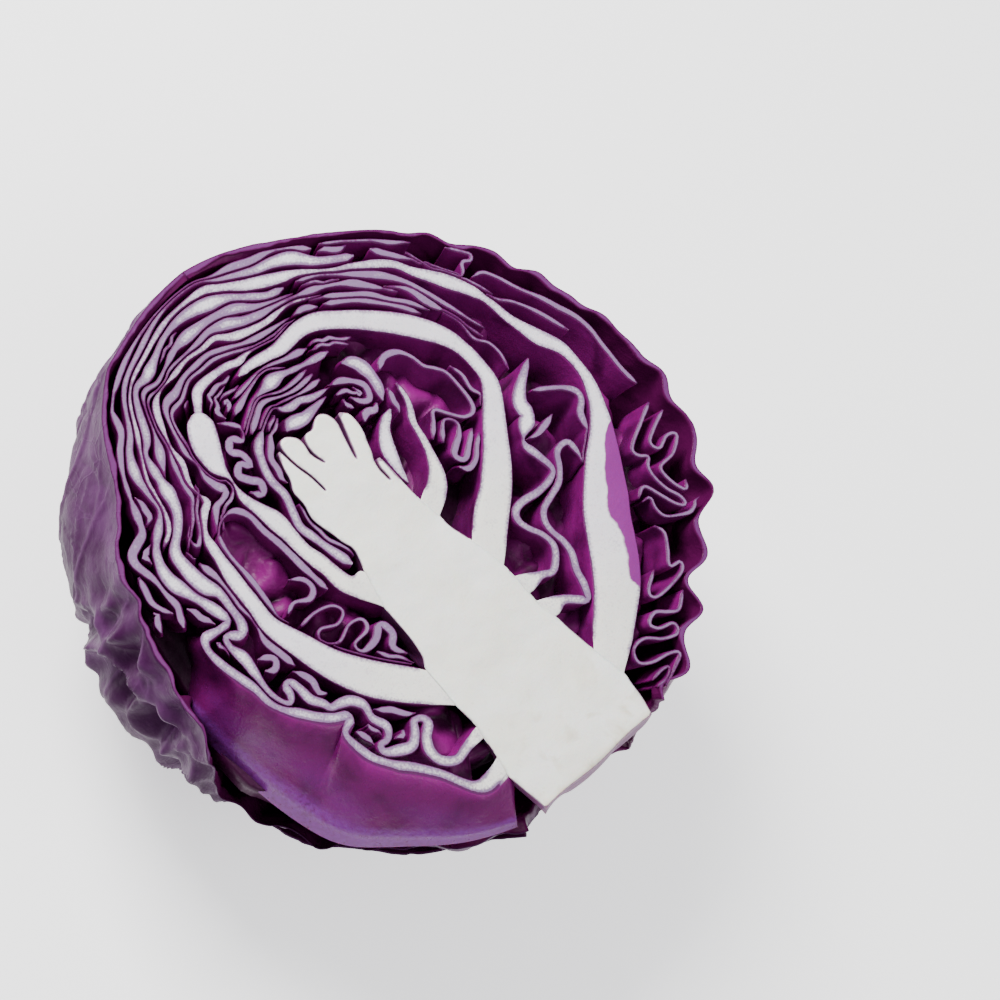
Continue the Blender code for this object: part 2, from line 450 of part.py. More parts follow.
def skin_radius(alpha, beta):
    """Radius of the skin at an angle from the stem and a turn from the left rim, in degrees."""
    table = np.array(SKIN, float)
    columns = [np.interp(alpha, table[:, 0], table[:, k]) for k in range(1, 5)]
    radius = columns[0]
    for k in range(3):
        start, end = SKIN_TURNS[k], SKIN_TURNS[k + 1]
        share = np.clip((beta - start) / (end - start), 0, 1)
        eased = share * share * (3 - 2 * share)
        radius = np.where(beta > start, columns[k] * (1 - eased) + columns[k + 1] * eased, radius)
    return radius


def skin_point(alpha, beta, inset):
    """A point that lies inset millimetres inside the skin."""
    radius = skin_radius(alpha, beta) * (1 - inset / MEAN_RADIUS)
    a, b = np.radians(alpha), np.radians(beta)
    return np.stack([-radius * np.sin(a) * np.cos(b), -radius * np.cos(a),
                     -radius * np.sin(a) * np.sin(b)], axis=-1)


def lean_of(x, y):
    """How much the leaning leaf stands out at a place on the cut face, and how deep it reaches."""
    share = np.clip((LEAN_STARTS - y) / (LEAN_STARTS - LEAN_FULL), 0, 1)
    far = np.clip((x - LEAN_ROOT_X) / (LEAN_FAR_X - LEAN_ROOT_X), 0, 1)
    depth = LEAN_ROOT_DEPTH + (LEAN_DEPTH - LEAN_ROOT_DEPTH) * far
    return share, depth


def make_leaf(name, line, root, depth, colour):
    """A leaf as a wall that tapers downwards from its ribbon on the cut face."""
    left, right = edges_of(line)
    if root:
        left[0], right[0] = root
    left, right = thin_out(left), thin_out(right)
    outline = np.vstack([left, right[::-1]])
    centre = np.array(TAPER_CENTRE)
    drops = np.full(len(outline), depth)
    reach = 1 - drops / TAPER_APEX
    if name == LEANING_LEAF:
        share, lean_depth = lean_of(outline[:, 0], outline[:, 1])
        drops = drops * (1 - share) + lean_depth * share
        reach = reach * (1 - share) + (1 + LEAN) * share
    lower = centre + (outline - centre) * reach[:, None]
    count = len(outline)
    vertices = [(x, y, 0.0) for x, y in outline]
    vertices += [(x, y, -drop) for (x, y), drop in zip(lower, drops)]
    walls = [(k + count, (k + 1) % count + count, (k + 1) % count, k) for k in range(count)]
    top = strip_triangles(len(left), len(right), outline)
    bottom = [tuple(k + count for k in reversed(face)) for face in top]
    return make_object(name, vertices, walls + top + bottom, colour, LEAF_ROUGHNESS)


def strip_triangles(left_count, right_count, outline):
    """Joins the two edges of a ribbon with triangles, always across the shorter diagonal."""
    total = left_count + right_count
    a, b = 0, total - 1
    triangles = []
    while a < left_count - 1 or b > left_count:
        can_left = a < left_count - 1
        can_right = b > left_count
        if can_left and can_right:
            across_left = np.hypot(*(outline[a + 1] - outline[b]))
            across_right = np.hypot(*(outline[a] - outline[b - 1]))
            step_left = across_left <= across_right
        else:
            step_left = can_left
        if step_left:
            triangles.append((a, a + 1, b))
            a += 1
        else:
            triangles.append((a, b - 1, b))
            b -= 1
    return triangles


def make_core():
    """The stem and core: the outline of the cut face, rounded off below."""
    outline = np.array(CORE_OUTLINE)
    centre_y = TAPER_CENTRE[1]
    blend = STEM_BLENDS_ABOVE - STEM_KEEPS_BELOW
    stem = np.clip((STEM_BLENDS_ABOVE - outline[:, 1]) / blend, 0, 1)
    at_end = outline[:, 1] < CORE_OUTLINE[0][1] + 0.5
    vertices = []
    for depth, width, stand_out in CORE_LEVELS:
        shrink = 1 - depth / TAPER_APEX
        tapered = centre_y + (outline[:, 1] - centre_y) * shrink
        y = tapered * (1 - stem) + outline[:, 1] * stem - stand_out * at_end
        vertices += [(x, py, -depth) for x, py in zip(outline[:, 0] * shrink * width, y)]
    count = len(outline)
    faces = [tuple(range(count))]
    for level in range(len(CORE_LEVELS) - 1):
        base = level * count
        for k in range(count):
            after = (k + 1) % count
            faces.append((base + k, base + after, base + count + after, base + count + k))
    last = (len(CORE_LEVELS) - 1) * count
    faces.append(tuple(last + k for k in reversed(range(count))))
    return make_object("core", vertices, faces, CORE_CREAM, SKIN_ROUGHNESS)


def close_shell(outer, inner):
    """Joins two grids of points of the same shape into one closed shell."""
    rows, columns = outer.shape[:2]
    half = rows * columns
    vertices = [tuple(point) for point in outer.reshape(-1, 3)]
    vertices += [tuple(point) for point in inner.reshape(-1, 3)]
    faces = []
    for i in range(rows - 1):
        for j in range(columns - 1):
            a, b = i * columns + j, i * columns + j + 1
            c, d = b + columns, a + columns
            faces += [(a, b, c), (a, c, d)]
            faces += [(half + a, half + c, half + b), (half + a, half + d, half + c)]
    border = list(range(columns))
    border += [i * columns + columns - 1 for i in range(1, rows)]
    border += [(rows - 1) * columns + j for j in range(columns - 2, -1, -1)]
    border += [i * columns for i in range(rows - 2, 0, -1)]
    for a, b in zip(border, border[1:] + border[:1]):
        faces += [(a, half + a, half + b), (a, half + b, b)]
    return vertices, faces


def rim_drop(alpha):
    """Share of its full drop that the left wrapper's rim has at an angle from the stem."""
    share = np.clip((RIM_DROP_FROM - alpha) / RIM_DROP_OVER, 0, 1)
    return share * share * (3 - 2 * share)


def make_wrapper(name, alphas, betas, layer, colour):
    """A leaf that wraps the outside of the head, as a shell on the skin."""
    rows = int(round((alphas[1] - alphas[0]) / WRAPPER_STEP)) + 1
    columns = int(round((betas[1] - betas[0]) / WRAPPER_STEP)) + 1
    turns = np.linspace(0, 1, columns)
    alpha, share = np.meshgrid(np.linspace(*alphas, rows), turns, indexing="ij")
    first = betas[0] + (RIM_DROP * rim_drop(alpha) if betas[0] == 0 else 0.0)
    beta = first + (betas[1] - first) * share
    outset = layer * (WRAPPER_THICKNESS + WRAPPER_GAP)
    outer = skin_point(alpha, beta, -outset)
    inner = skin_point(alpha, beta, WRAPPER_THICKNESS - outset)
    outer[..., 2] = np.maximum(outer[..., 2], -HEAD_DEPTH)
    return make_object(name, *close_shell(outer, inner), colour, SKIN_ROUGHNESS)


def rim_line(side):
    """The inner edge of the wrappers on the cut face, as a line that no leaf may touch."""
    alpha = np.arange(*RIM_SPAN, RIM_STEP)
    beta = np.full_like(alpha, side)
    points = skin_point(alpha, beta, WRAPPER_THICKNESS)
    return np.column_stack([points[:, :2], np.full(len(alpha), RIM_LINE)])


def main():
    """Builds every piece."""
    remove_everything()
    make_core()
    for name, (alphas, betas, layer, colour) in WRAPPERS.items():
        make_wrapper(name, alphas, betas, layer, colour)
    fixed = [rim_line(0.0), rim_line(180.0)]
    lines = [smooth_line(points) for points, _, _, _ in LEAVES.values()]
    lines = fit_thickness(push_apart(lines, fixed), fixed)
    for (name, (_, root, depth, colour)), line in zip(LEAVES.items(), lines):
        make_leaf(name, line, root, depth, colour)


main()
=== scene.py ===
"""The looks of half a red cabbage, cut lengthways and lying on its rounded back.

Metres, +Z up. The cut face is level, the core runs along +Y and the stem end is at -Y. Shapes are
worked out in millimetres of the cut face, with z counted from the cut face, and are lifted into the
frame when they become meshes.
"""

import logging
import math
from dataclasses import dataclass, field
from enum import Enum

import bpy
import numpy as np
from mathutils import Matrix, Vector, geometry


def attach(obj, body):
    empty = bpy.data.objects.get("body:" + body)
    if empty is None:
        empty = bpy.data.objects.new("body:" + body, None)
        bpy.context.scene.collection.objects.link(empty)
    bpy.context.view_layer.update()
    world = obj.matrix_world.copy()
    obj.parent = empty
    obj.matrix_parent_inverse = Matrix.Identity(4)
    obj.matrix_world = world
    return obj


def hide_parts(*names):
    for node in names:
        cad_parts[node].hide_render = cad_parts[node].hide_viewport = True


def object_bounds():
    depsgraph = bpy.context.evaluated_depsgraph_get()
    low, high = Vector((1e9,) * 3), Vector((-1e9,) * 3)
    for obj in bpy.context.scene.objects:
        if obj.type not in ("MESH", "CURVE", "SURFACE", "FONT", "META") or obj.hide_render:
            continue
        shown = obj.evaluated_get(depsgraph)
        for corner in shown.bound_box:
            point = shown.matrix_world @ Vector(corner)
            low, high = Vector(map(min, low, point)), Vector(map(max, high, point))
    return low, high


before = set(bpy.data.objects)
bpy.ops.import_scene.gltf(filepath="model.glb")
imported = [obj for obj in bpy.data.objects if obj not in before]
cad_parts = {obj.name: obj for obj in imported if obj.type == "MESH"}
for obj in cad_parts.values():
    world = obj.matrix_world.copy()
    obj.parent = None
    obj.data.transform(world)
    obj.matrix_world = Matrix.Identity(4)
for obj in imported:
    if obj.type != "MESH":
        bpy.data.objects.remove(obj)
CAD_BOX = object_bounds()

Points = tuple[tuple[float, ...], ...]
Way = tuple[float, float, float]
Array = np.ndarray

LOG = logging.getLogger("red_cabbage")
BODY = "root"
MM = 0.001
FACE_HEIGHT = CAD_BOX[1].z / MM     # the cut face above the floor, in millimetres

# The camera's side of the head is the left. Arches are read about this point of the cut face.
ARCH_CENTRE = (0.0, 15.0)


def arch(*readings: tuple[float, float, float]) -> Points:
    """Turns readings (angle in degrees, outer radius, inner radius) into centre points."""
    points = []
    for angle, outer, inner in readings:
        turn = math.radians(angle)
        radius = (outer + inner) / 2
        x = ARCH_CENTRE[0] + radius * math.cos(turn)
        y = ARCH_CENTRE[1] + radius * math.sin(turn)
        points.append((x, y, outer - inner))
    return tuple(points)


# Centre line of each leaf on the cut face: x, y, thickness. A leaf that grows from the core has its
# root's two corners, the one on the left of the line first.
MAIN_RIB_LEFT = (
    (-20, -37, 9), (-26, -31, 9.5), (-33, -23.5, 9.5), (-38.5, -15, 8), (-42.5, -5, 6.5),
    (-45, 3, 5), (-45, 11, 4), (-44.8, 18, 4.2), (-44, 25, 3), (-43, 31, 2),
) + arch((153, 45.6, 44), (150, 44.6, 43.4), (147.5, 43.8, 42.6), (143.5, 46.8, 45.6),
         (140, 48.6, 47.2), (135, 50.3, 48.9), (130, 54.2, 52.6), (120, 60.2, 58.6),
         (110, 58.8, 57.1), (105, 58.4, 56.4), (100, 56.8, 55.3), (95, 56.4, 54.9),
         (90, 53.4, 52), (80, 52.2, 50.8), (70, 54.4, 53.5), (60, 55.4, 54.4))
SECOND_RIB_LEFT = (
    (-18.6, -7, 5), (-21.5, 0, 5), (-22.5, 6, 4), (-24, 12, 3), (-24.5, 18, 3.5), (-25, 23, 4.5),
    (-26.5, 28, 3), (-28, 33, 2.2), (-27.5, 39, 2.6), (-28, 44, 5), (-26.6, 50, 7.6),
    (-24, 55, 7), (-21, 59.5, 3), (-17.4, 62.6, 1.6),
) + arch((100, 49, 48.2), (95, 47.7, 46.3), (90, 47.8, 46.4), (80, 46.9, 46.1), (72, 47.4, 46.6))
THIRD_RIB_LEFT = (
    (-16, 2, 1.8), (-18, 8, 1.8), (-19.5, 14, 1.6), (-20.5, 18, 1.6), (-19.5, 22, 1.2),
    (-18.2, 27, 1.2), (-18.6, 32, 1.2), (-17.4, 37, 1.2), (-14.6, 41.5, 1.4),
) + arch((100, 33.2, 30.7), (95, 31, 28.8), (90, 30.2, 27.7), (85, 30.4, 27.8), (78, 29, 27.4),
         (66, 30, 28.8))
OUTER_FOLD_LEFT = (
    (-20.4, -62.4, 4), (-26, -64, 4), (-29.5, -62.5, 3), (-32, -59, 2.6), (-35, -54, 2.6),
    (-39, -49, 2.6), (-43, -45, 2.4), (-46.5, -40, 2.4), (-48, -35, 2.4), (-48.5, -31, 1.8),
    (-47, -29.5, 1.6), (-44, -28.4, 1.8), (-45, -27, 1.8), (-48, -25.5, 2.4), (-51, -23, 2.6),
    (-54, -19.5, 2.6), (-57, -16, 2.6), (-59, -12, 2.6), (-59.5, -7, 2.6), (-61, -2, 2.6),
    (-62.5, 3, 2.4), (-63, 8, 2), (-61.8, 10.8, 1.8), (-60, 11, 1.8), (-57, 10.5, 1.8),
    (-54, 10.5, 1.8), (-53.5, 12, 2), (-55, 17, 2.4), (-57, 22, 3), (-58.5, 27, 4.4),
    (-58.5, 31, 3), (-57, 35, 2), (-54.6, 38, 1.6),
) + arch((150, 57, 56), (145, 59.6, 58.1), (140, 63.2, 60.6), (135, 64.2, 63),
         (130, 64.8, 63.4), (120, 68.9, 68), (110, 69.6, 68.5), (100, 71, 69.4), (90, 70.6, 69.4),
         (85, 68.2, 67.2), (80, 66.9, 65.6), (75, 66.4, 64.8), (70, 67.2, 65.2), (65, 67.5, 64.6),
         (60, 65.2, 63.7), (55, 65.2, 64.2), (50, 66.6, 65.6))
INNER_FOLD_LEFT = (
    (-19.6, -53, 3), (-24, -53.5, 3), (-28.5, -54.3, 2.6), (-32, -52, 2.4), (-33, -48.5, 2.2),
    (-31.5, -45, 2.2), (-28.5, -42.5, 2), (-28.6, -40.4, 1.6), (-31, -39.5, 1.6),
    (-33, -42, 1.8), (-36, -44, 2), (-40, -42.5, 2), (-43, -40.6, 1.6), (-42.6, -38.6, 1.6),
    (-40, -38.6, 1.6), (-38, -36, 1.8), (-39.5, -32, 2), (-39, -28, 2), (-41, -25, 1.8),
    (-44, -23.7, 1.8), (-46.6, -23, 1.6), (-47.5, -21, 1.8), (-49.5, -18, 1.8),
    (-50, -14, 1.6), (-51, -11, 1.6), (-52.5, -11.5, 1.6), (-53, -14, 1.8), (-54.5, -15.5, 1.8),
    (-56.3, -13, 2), (-57, -9, 2), (-56.8, -4, 2.2), (-56.5, 1, 2.8), (-57.5, 5, 2),
    (-57, 7.8, 1.6), (-55.5, 7.5, 1.6), (-53, 6, 1.8), (-51, 8, 1.8), (-50.5, 13, 2.4),
    (-50.5, 18, 3.4), (-52.5, 22, 5), (-53, 28, 3), (-52.4, 33, 2.2),
) + arch((155, 53.6, 51.6), (150, 52.6, 50.9), (145, 54.5, 51.6), (142.5, 56.8, 52),
         (135, 59.8, 58.2), (130, 60.4, 58.6), (120, 66, 64.4), (115, 65.3, 63), (110, 65.6, 63.6),
         (105, 66, 65), (100, 66.6, 64.8), (95, 66.6, 63.4), (90, 65.4, 61.8), (85, 63.2, 61),
         (80, 60.6, 58.8), (75, 59, 57.2), (70, 59.2, 58))
LOOSE_LEFT = (
    (-64, 16.6, 1.2), (-62.8, 19.4, 1.2), (-61.6, 22, 1.2), (-61.8, 26, 1.3),
    (-61.8, 31, 1.3), (-63, 36.5, 1.3), (-62, 39.2, 1.3), (-59, 40.6, 1.3),
    (-56, 42, 1.3), (-54.4, 45.6, 1.4),
) + arch((145, 64.2, 63.4), (140, 65.6, 64.8), (135, 66.6, 65.6), (130, 66.9, 66),
         (125, 70.6, 69.8), (120, 71, 70.2), (115, 71.3, 70.5), (110, 71.4, 70.6),
         (105, 71.5, 70.7), (100, 71.5, 70.8), (95, 71.4, 70.6), (90, 71, 70.2),
         (85, 69.6, 68.8), (80, 69.4, 68.3), (75, 69, 67.9), (70, 69.7, 68.8), (65, 69.6, 68.8),
         (60, 68.8, 67.4))
POCKET_LEFT = (
    (-42, 0, 1), (-41.6, 8, 1), (-41.2, 16, 1), (-41.4, 24, 1), (-40, 29.5, 1), (-36.5, 32, 1),
    (-32.6, 32, 1), (-30, 28.6, 1), (-29.4, 23, 1), (-28.2, 17, 1), (-27.6, 11, 1), (-27, 6, 1),
    (-26.2, 1, 1),
)
TANGLE_LEFT = (
    (-38.5, -2, 1), (-33, -1.6, 1), (-28, -3, 1), (-26.6, -6, 1), (-30, -7.6, 1), (-35, -5.8, 1),
    (-36.8, -8.4, 1), (-33, -11.4, 1), (-27.6, -9.6, 1), (-23.8, -10.6, 1), (-24.6, -13.6, 1),
    (-30, -14.4, 1), (-29.4, -17.2, 1), (-24.6, -17, 1), (-20.8, -14.6, 1), (-19.6, -18.4, 1),
    (-22, -21.4, 1), (-20, -25, 1),
)
INNER_RIB_RIGHT = (
    (17.2, -17.6, 9), (21, -14.4, 9.4), (25.6, -10.6, 9.4), (30.5, -7, 8.6), (35.5, -2, 8),
    (39.5, 2.6, 7), (43.5, 7.6, 6.4), (47.6, 12.6, 5.6), (50.2, 17, 4.8), (50.8, 21.6, 3.8),
    (50.4, 27, 4), (48.6, 32.6, 5), (44.6, 38.6, 6), (39.4, 44.2, 6), (33.6, 49.4, 5.6),
    (27.4, 54, 5), (21.4, 57.6, 5), (15.6, 58.8, 4.4), (8, 58, 4), (3, 58.6, 2.4), (-2, 59.2, 1.6),
    (-6.6, 58.8, 1.2),
)
OUTER_RIB_RIGHT = (
    (25.2, -60, 11), (31.2, -55.2, 11.2), (36.4, -50.8, 12), (41.7, -45.6, 13), (46.8, -38.6, 13.2),
    (51.4, -31.6, 13), (56.4, -25.6, 12.2), (61.5, -19.4, 10), (66.8, -13.2, 7), (71, -7, 4.8),
    (73.8, 0, 3.6), (74.4, 6, 3.2), (73.6, 12, 3.4), (70.4, 18, 4), (67.6, 25, 3),
    (65.6, 33, 2.6), (63, 39.4, 3.4), (58.6, 46, 4), (53.6, 52.4, 2.4), (49.6, 58, 1.6),
) + arch((50, 63.8, 62.6), (55, 62.6, 61.2), (60, 62.4, 60.8), (65, 62.8, 60.9), (70, 63, 60.4),
         (75, 63.4, 60.6), (80, 64.4, 61.8), (85, 66.2, 64.4), (90, 68.2, 66.6), (100, 68.4, 67.4),
         (110, 67.6, 66.7), (120, 67.2, 66.4), (130, 62.6, 61.5), (140, 59.6, 58.6),
         (145, 57.4, 56.4), (150, 55.5, 54.5), (155, 55.6, 54.6), (159, 58.4, 57.4))
FINGER_RIGHT = (
    (11.8, 9, 1.4), (12.2, 14, 2.4), (13.6, 19.6, 3.6), (17, 24.6, 2.4), (21.6, 27.4, 1.2),
)
LENS_RIGHT = (
    (13.2, 0.4, 6), (17, 3, 6), (20, 6.6, 4.4), (22, 11, 3), (23.4, 16, 2.4), (24.4, 21, 2),
    (27, 26, 1.8), (28, 32, 1.4),
)
INNER_FOLD_RIGHT = (
    (19.2, -30.6, 2.4), (25, -32, 2.2), (28, -33.2, 2.2), (31, -31.5, 2.2), (33.5, -28, 2),
    (33, -24, 2), (31, -20.5, 2), (30, -17, 2), (31.5, -14.5, 2), (35, -13.8, 2), (40, -14.4, 2),
    (45, -14, 2), (48, -12.2, 1.8), (47, -7, 2.4), (46, -2.5, 3), (48.5, 0.5, 4.2), (52.4, 3, 5),
    (53.2, 7, 4.6), (56, 10, 3.6), (60, 12.6, 2.4), (64, 15, 1.6),
)
OUTER_FOLD_RIGHT = (
    (20, -38.6, 2.4), (25, -40.5, 2.4), (29, -43.5, 2.2), (31, -45, 2), (33, -41, 2),
    (34, -37, 2), (36, -33, 2), (36.5, -29, 2), (35.8, -25, 2), (36.2, -21.4, 2), (38.5, -18.9, 2),
    (43, -17.4, 2), (47, -16, 2), (50, -13, 2), (51.8, -10, 2), (54, -8.8, 2), (56.8, -9.2, 2),
    (57.3, -12, 2), (57, -16, 1.8), (58.4, -18.6, 1.6), (60.4, -18, 1.6), (62.2, -14, 1.8),
    (64, -10, 1.8), (65.6, -5.4, 1.8), (68.3, -3, 1.6), (69, -0.4, 1.6), (66.8, 2.6, 1.6),
    (62.6, 5.4, 1.6), (58.6, 7.6, 1.6),
)
CRUMPLE_RIGHT = (
    (25.6, 14, 1.2), (29, 17.4, 1.2), (31.4, 20, 1.2), (33.8, 17.4, 1.2), (37, 13.7, 1.2),
    (40, 13, 1.2), (41.6, 15, 1.2), (42, 20, 1.2), (41.5, 25.6, 1.2), (39.6, 28.6, 1.2),
    (37.5, 31, 1.2), (36.4, 35, 1.2), (34, 38.3, 1.2), (30, 39.3, 1.2), (26.4, 37.2, 1.2),
)
HOOK_RIGHT = (
    (57.2, 16, 1), (58.4, 20.5, 1), (57.8, 25, 1), (55.2, 28.4, 1), (54.6, 34, 1), (52.6, 39, 1),
)
SHOULDER_RIGHT_1 = (
    (55.6, 58, 1.4), (57.5, 53, 1.3), (59.2, 48.4, 1.2), (62.6, 44, 1.2), (65, 44, 1.2),
    (67, 46.4, 1.2), (69.6, 45.4, 1.2), (70.4, 47.4, 1.2), (67.4, 50.8, 1.2), (66, 53, 1.2),
)
SHOULDER_RIGHT_2 = (
    (66.6, 41.6, 1.2), (70, 40.8, 1.2), (72.6, 37, 1.2), (75, 32, 1.2), (78.6, 26, 1.2),
    (81, 21, 1.3), (83.4, 16.4, 1.4), (84.8, 11, 1.5), (84.6, 4, 1.5), (84.4, -3, 1.5),
    (85.2, -9, 1.4),
)
SHOULDER_RIGHT_3 = (
    (66.4, 35.6, 1), (68.4, 32.4, 1), (71, 30, 1), (74, 25.6, 1), (77, 19.6, 1), (79.4, 14, 1),
)
FRILL_RIGHT_1 = (
    (84, -15, 1.1), (78, -17.8, 1.1), (73, -20.2, 1.1), (70.4, -22.2, 1.1), (71, -24.4, 1.1),
    (73, -26.2, 1.1), (71, -28.2, 1.1), (70.4, -31.6, 1.1), (71.2, -36, 1.1), (73, -40, 1.1),
    (72.6, -42.6, 1.1), (70.4, -40.6, 1.1), (68.2, -35.6, 1.1), (66, -31.6, 1.1),
    (62.4, -33.2, 1.1),
)
FRILL_RIGHT_2 = (
    (86, -19, 1.1), (80, -21.4, 1.1), (76.4, -23.6, 1.1), (77.6, -26.4, 1.1), (82, -25, 1.1),
    (84.6, -26.6, 1.1), (80, -29.8, 1.1), (74, -30.6, 1.1), (74, -35.6, 1.1), (76, -39.6, 1.1),
    (77.8, -37.4, 1.1),
)
FRILL_RIGHT_3 = (
    (61, -41.5, 1.1), (62, -44.6, 1.1), (59.6, -48.6, 1.1), (56.6, -52.4, 1.1), (60, -53.4, 1.1),
    (58.4, -55.6, 1.1), (52, -56.6, 1.1), (47, -56.2, 1.1), (46.8, -53.8, 1.1), (52, -50.4, 1.1),
)
FRILL_RIGHT_4 = (
    (55, -59.6, 1.1), (50.4, -62.8, 1.1), (47, -61.2, 1.1), (44, -59.2, 1.1), (40.6, -60.6, 1.1),
    (42, -63.2, 1.1), (46.4, -64.6, 1.1), (45.6, -67.4, 1.1), (41, -66, 1.1), (36.4, -62.6, 1.1),
    (32, -63, 1.1), (30.6, -66.4, 1.1), (34, -68.8, 1.1), (39.6, -70, 1.1), (42, -71.8, 1.1),
    (38, -74.6, 1.1), (32.4, -76, 1.1),
)
ARCH_1 = arch((140, 54.3, 53.4), (135, 55.8, 54.3), (130, 57.4, 55.8), (120, 63.6, 62.4),
              (115, 61.6, 60.4), (110, 61.6, 60.4), (105, 62.3, 60.8), (100, 62.3, 60),
              (95, 61.6, 59.6), (90, 60.6, 59.2), (85, 60.2, 57.2), (80, 57.6, 55.8),
              (75, 56.6, 55.6), (68, 57, 56))
ARCH_2 = arch((159, 43.2, 42.2), (155, 42.6, 41.4), (150, 41.6, 40.4), (147.4, 39.6, 38.4),
              (144, 38.6, 37), (142, 42, 38.6), (139, 45.4, 41), (135, 46, 44.8), (131, 50, 49),
              (121, 57, 55.8), (115, 56.5, 54.8), (110, 56.2, 55), (105, 55.4, 54),
              (100, 54.6, 53.2), (95, 53.2, 50.6), (90, 50.9, 49), (85, 49.8, 48.4),
              (80, 50, 48.2), (72, 51, 49.6))
ARCH_3 = arch((116, 36, 34.6), (110, 36.8, 35.2), (102, 38, 36.4), (95, 38.8, 35.3), (90, 39.6, 35),
              (85, 39, 35.8), (80, 37.6, 36.4), (70, 38, 37), (62, 39.6, 38.6))
ARCH_4 = arch((106, 42, 41), (100, 41.8, 40.6), (90, 42, 41), (80, 41, 39.9), (70, 41.6, 40.6))


ARCH_UNDER_FOLD = arch((161, 52.4, 51), (158, 50.8, 49.4), (154, 48.8, 47.6), (150, 48, 47),
                       (146, 47.6, 46.6), (142, 49.6, 48.6), (136, 52.2, 51.2), (131, 54.4, 53.4),
                       (125, 59.6, 58.6), (120, 62, 61), (115, 59.8, 58.9), (110, 60.2, 59.2),
                       (100, 58.8, 57.2), (95, 58.8, 57.2), (90, 58, 55.2), (87, 56.4, 54.4),
                       (85, 55.6, 53.8), (80, 55.2, 53), (75, 55.2, 53.9), (68, 56, 55),
                       (60, 57.4, 56.4), (52, 58.6, 57.4), (45, 58.4, 57.4), (38, 58.6, 57.6))
ARCH_MIDDLE = arch((159, 41, 40.2), (155, 40.4, 39.6), (150, 38.8, 38), (147, 36.8, 36),
                   (142, 36.4, 35.6), (137, 40.6, 39.8), (134, 43.4, 42.6), (131, 47.6, 46.8),
                   (122, 54.6, 53.8), (116, 53.8, 53), (110, 54.4, 53.6), (105, 53.2, 52.4),
                   (100, 52.6, 51.4), (95, 51.2, 49.2), (90, 49.2, 47.6), (85, 48, 46.8),
                   (80, 48.2, 46.9), (75, 48.8, 47.6), (70, 49.8, 48.8))
ARCH_INNER_THIN = arch((112, 39.6, 38.8), (100, 40.3, 39.3), (90, 41.1, 40.3), (82, 38.9, 38.1))
THIN_STACK_1 = arch((118, 35, 34.2), (108, 35.8, 35), (100, 36.9, 36.1), (90, 34.3, 33.5),
                    (82, 34.4, 33.6), (74, 36, 35.2))
THIN_STACK_2 = arch((116, 33.4, 32.6), (108, 34.2, 33.4), (100, 35.3, 34.5), (90, 33, 32.2),
                    (82, 32.6, 31.8), (72, 34.4, 33.6))
THIN_STACK_3 = arch((112, 32, 31.2), (104, 32.8, 32), (96, 32.2, 31.5), (90, 31.5, 30.8),
                    (80, 31, 30.2), (70, 32.4, 31.6))
HEART_CAP = arch((104, 26, 25), (98, 27, 24.2), (92, 26.2, 23.4), (88, 25.6, 23.6), (80, 26, 24.8),
                 (70, 27.6, 26.6))
RIGHT_BAND_1 = arch((66, 60.2, 59), (60, 60.9, 59.8), (54, 61, 60), (48, 61.6, 60.4),
                    (42, 62.4, 61.2), (36, 62.2, 61.2), (30, 61.4, 60.2), (24, 60.8, 59.8),
                    (18, 60.6, 59.8), (13, 61.6, 60.8))
RIGHT_BAND_2 = arch((42, 59.2, 58.2), (36, 60.2, 59.2), (30, 59.6, 57.2), (24, 58.8, 57.4),
                    (18, 58.6, 57.6), (12, 59.2, 58.4))
RIGHT_BAND_3 = arch((64, 54.8, 53.8), (58, 55, 54), (52, 55.4, 54.4), (46, 56.2, 55.2),
                    (40, 56, 55), (34, 56.6, 55.8), (28, 57, 56.2))
RIGHT_BAND_4 = arch((60, 52.6, 51.8), (54, 53.2, 52.4), (48, 53.8, 53), (42, 54, 53.2),
                    (36, 54.4, 53.6), (30, 54.8, 54))
RIGHT_BAND_5 = arch((46, 69.2, 68.2), (40, 69, 67.8), (34, 69.6, 68.4), (28, 70.2, 69),
                    (22, 70.6, 69.6), (16, 71, 70.2))
RIGHT_BAND_6 = arch((58, 69.8, 68.8), (52, 70.6, 69.8), (46, 71.8, 70.9), (41, 72.6, 71.6),
                    (37, 74.2, 73.4))
LEFT_SMALL_FOLD = (
    (-44.6, 36, 1), (-47, 33.4, 1), (-46.6, 30.6, 1), (-43.6, 33, 1), (-40.6, 37.6, 1),
    (-37.4, 40.6, 1), (-36, 43.4, 1),
)
LEFT_INNER_FLAP = (
    (-49.4, 27, 1.2), (-48.2, 21, 1.2), (-48.2, 15, 1.2), (-48.4, 11.4, 1.2), (-48, 6, 1.1),
    (-49, 1, 1), (-48, -4, 1), (-47, -9, 1),
)
LEFT_CURL_1 = (
    (-54.4, -5, 0.8), (-52, -6.4, 0.8), (-50.2, -4.6, 0.8), (-51.4, -2.8, 0.8), (-54, -1.6, 0.8),
)
LEFT_CURL_2 = (
    (-48.4, -9.6, 0.8), (-46.8, -12, 0.8), (-45.8, -15, 0.8), (-46.4, -18, 0.8), (-44.8, -19.6, 0.8),
)
LEFT_TANGLE_2 = (
    (-39, 2.6, 0.9), (-35.6, 3.8, 0.9), (-31.6, 2, 0.9), (-29, 3.6, 0.9), (-29.6, 7, 0.9),
    (-33, 9.4, 0.9),
)
LEFT_TANGLE_3 = (
    (-35.6, -11.4, 0.8), (-33.4, -14.4, 0.8), (-31.6, -17.6, 0.8), (-28.6, -20.6, 0.8),
    (-26.6, -23.6, 0.8), (-23.8, -26.6, 0.8), (-22.4, -29.2, 0.8),
)
LEFT_TANGLE_4 = (
    (-26.4, -19.6, 0.8), (-24.6, -22.4, 0.8), (-22.2, -24.6, 0.8), (-20.4, -28, 0.8),
)
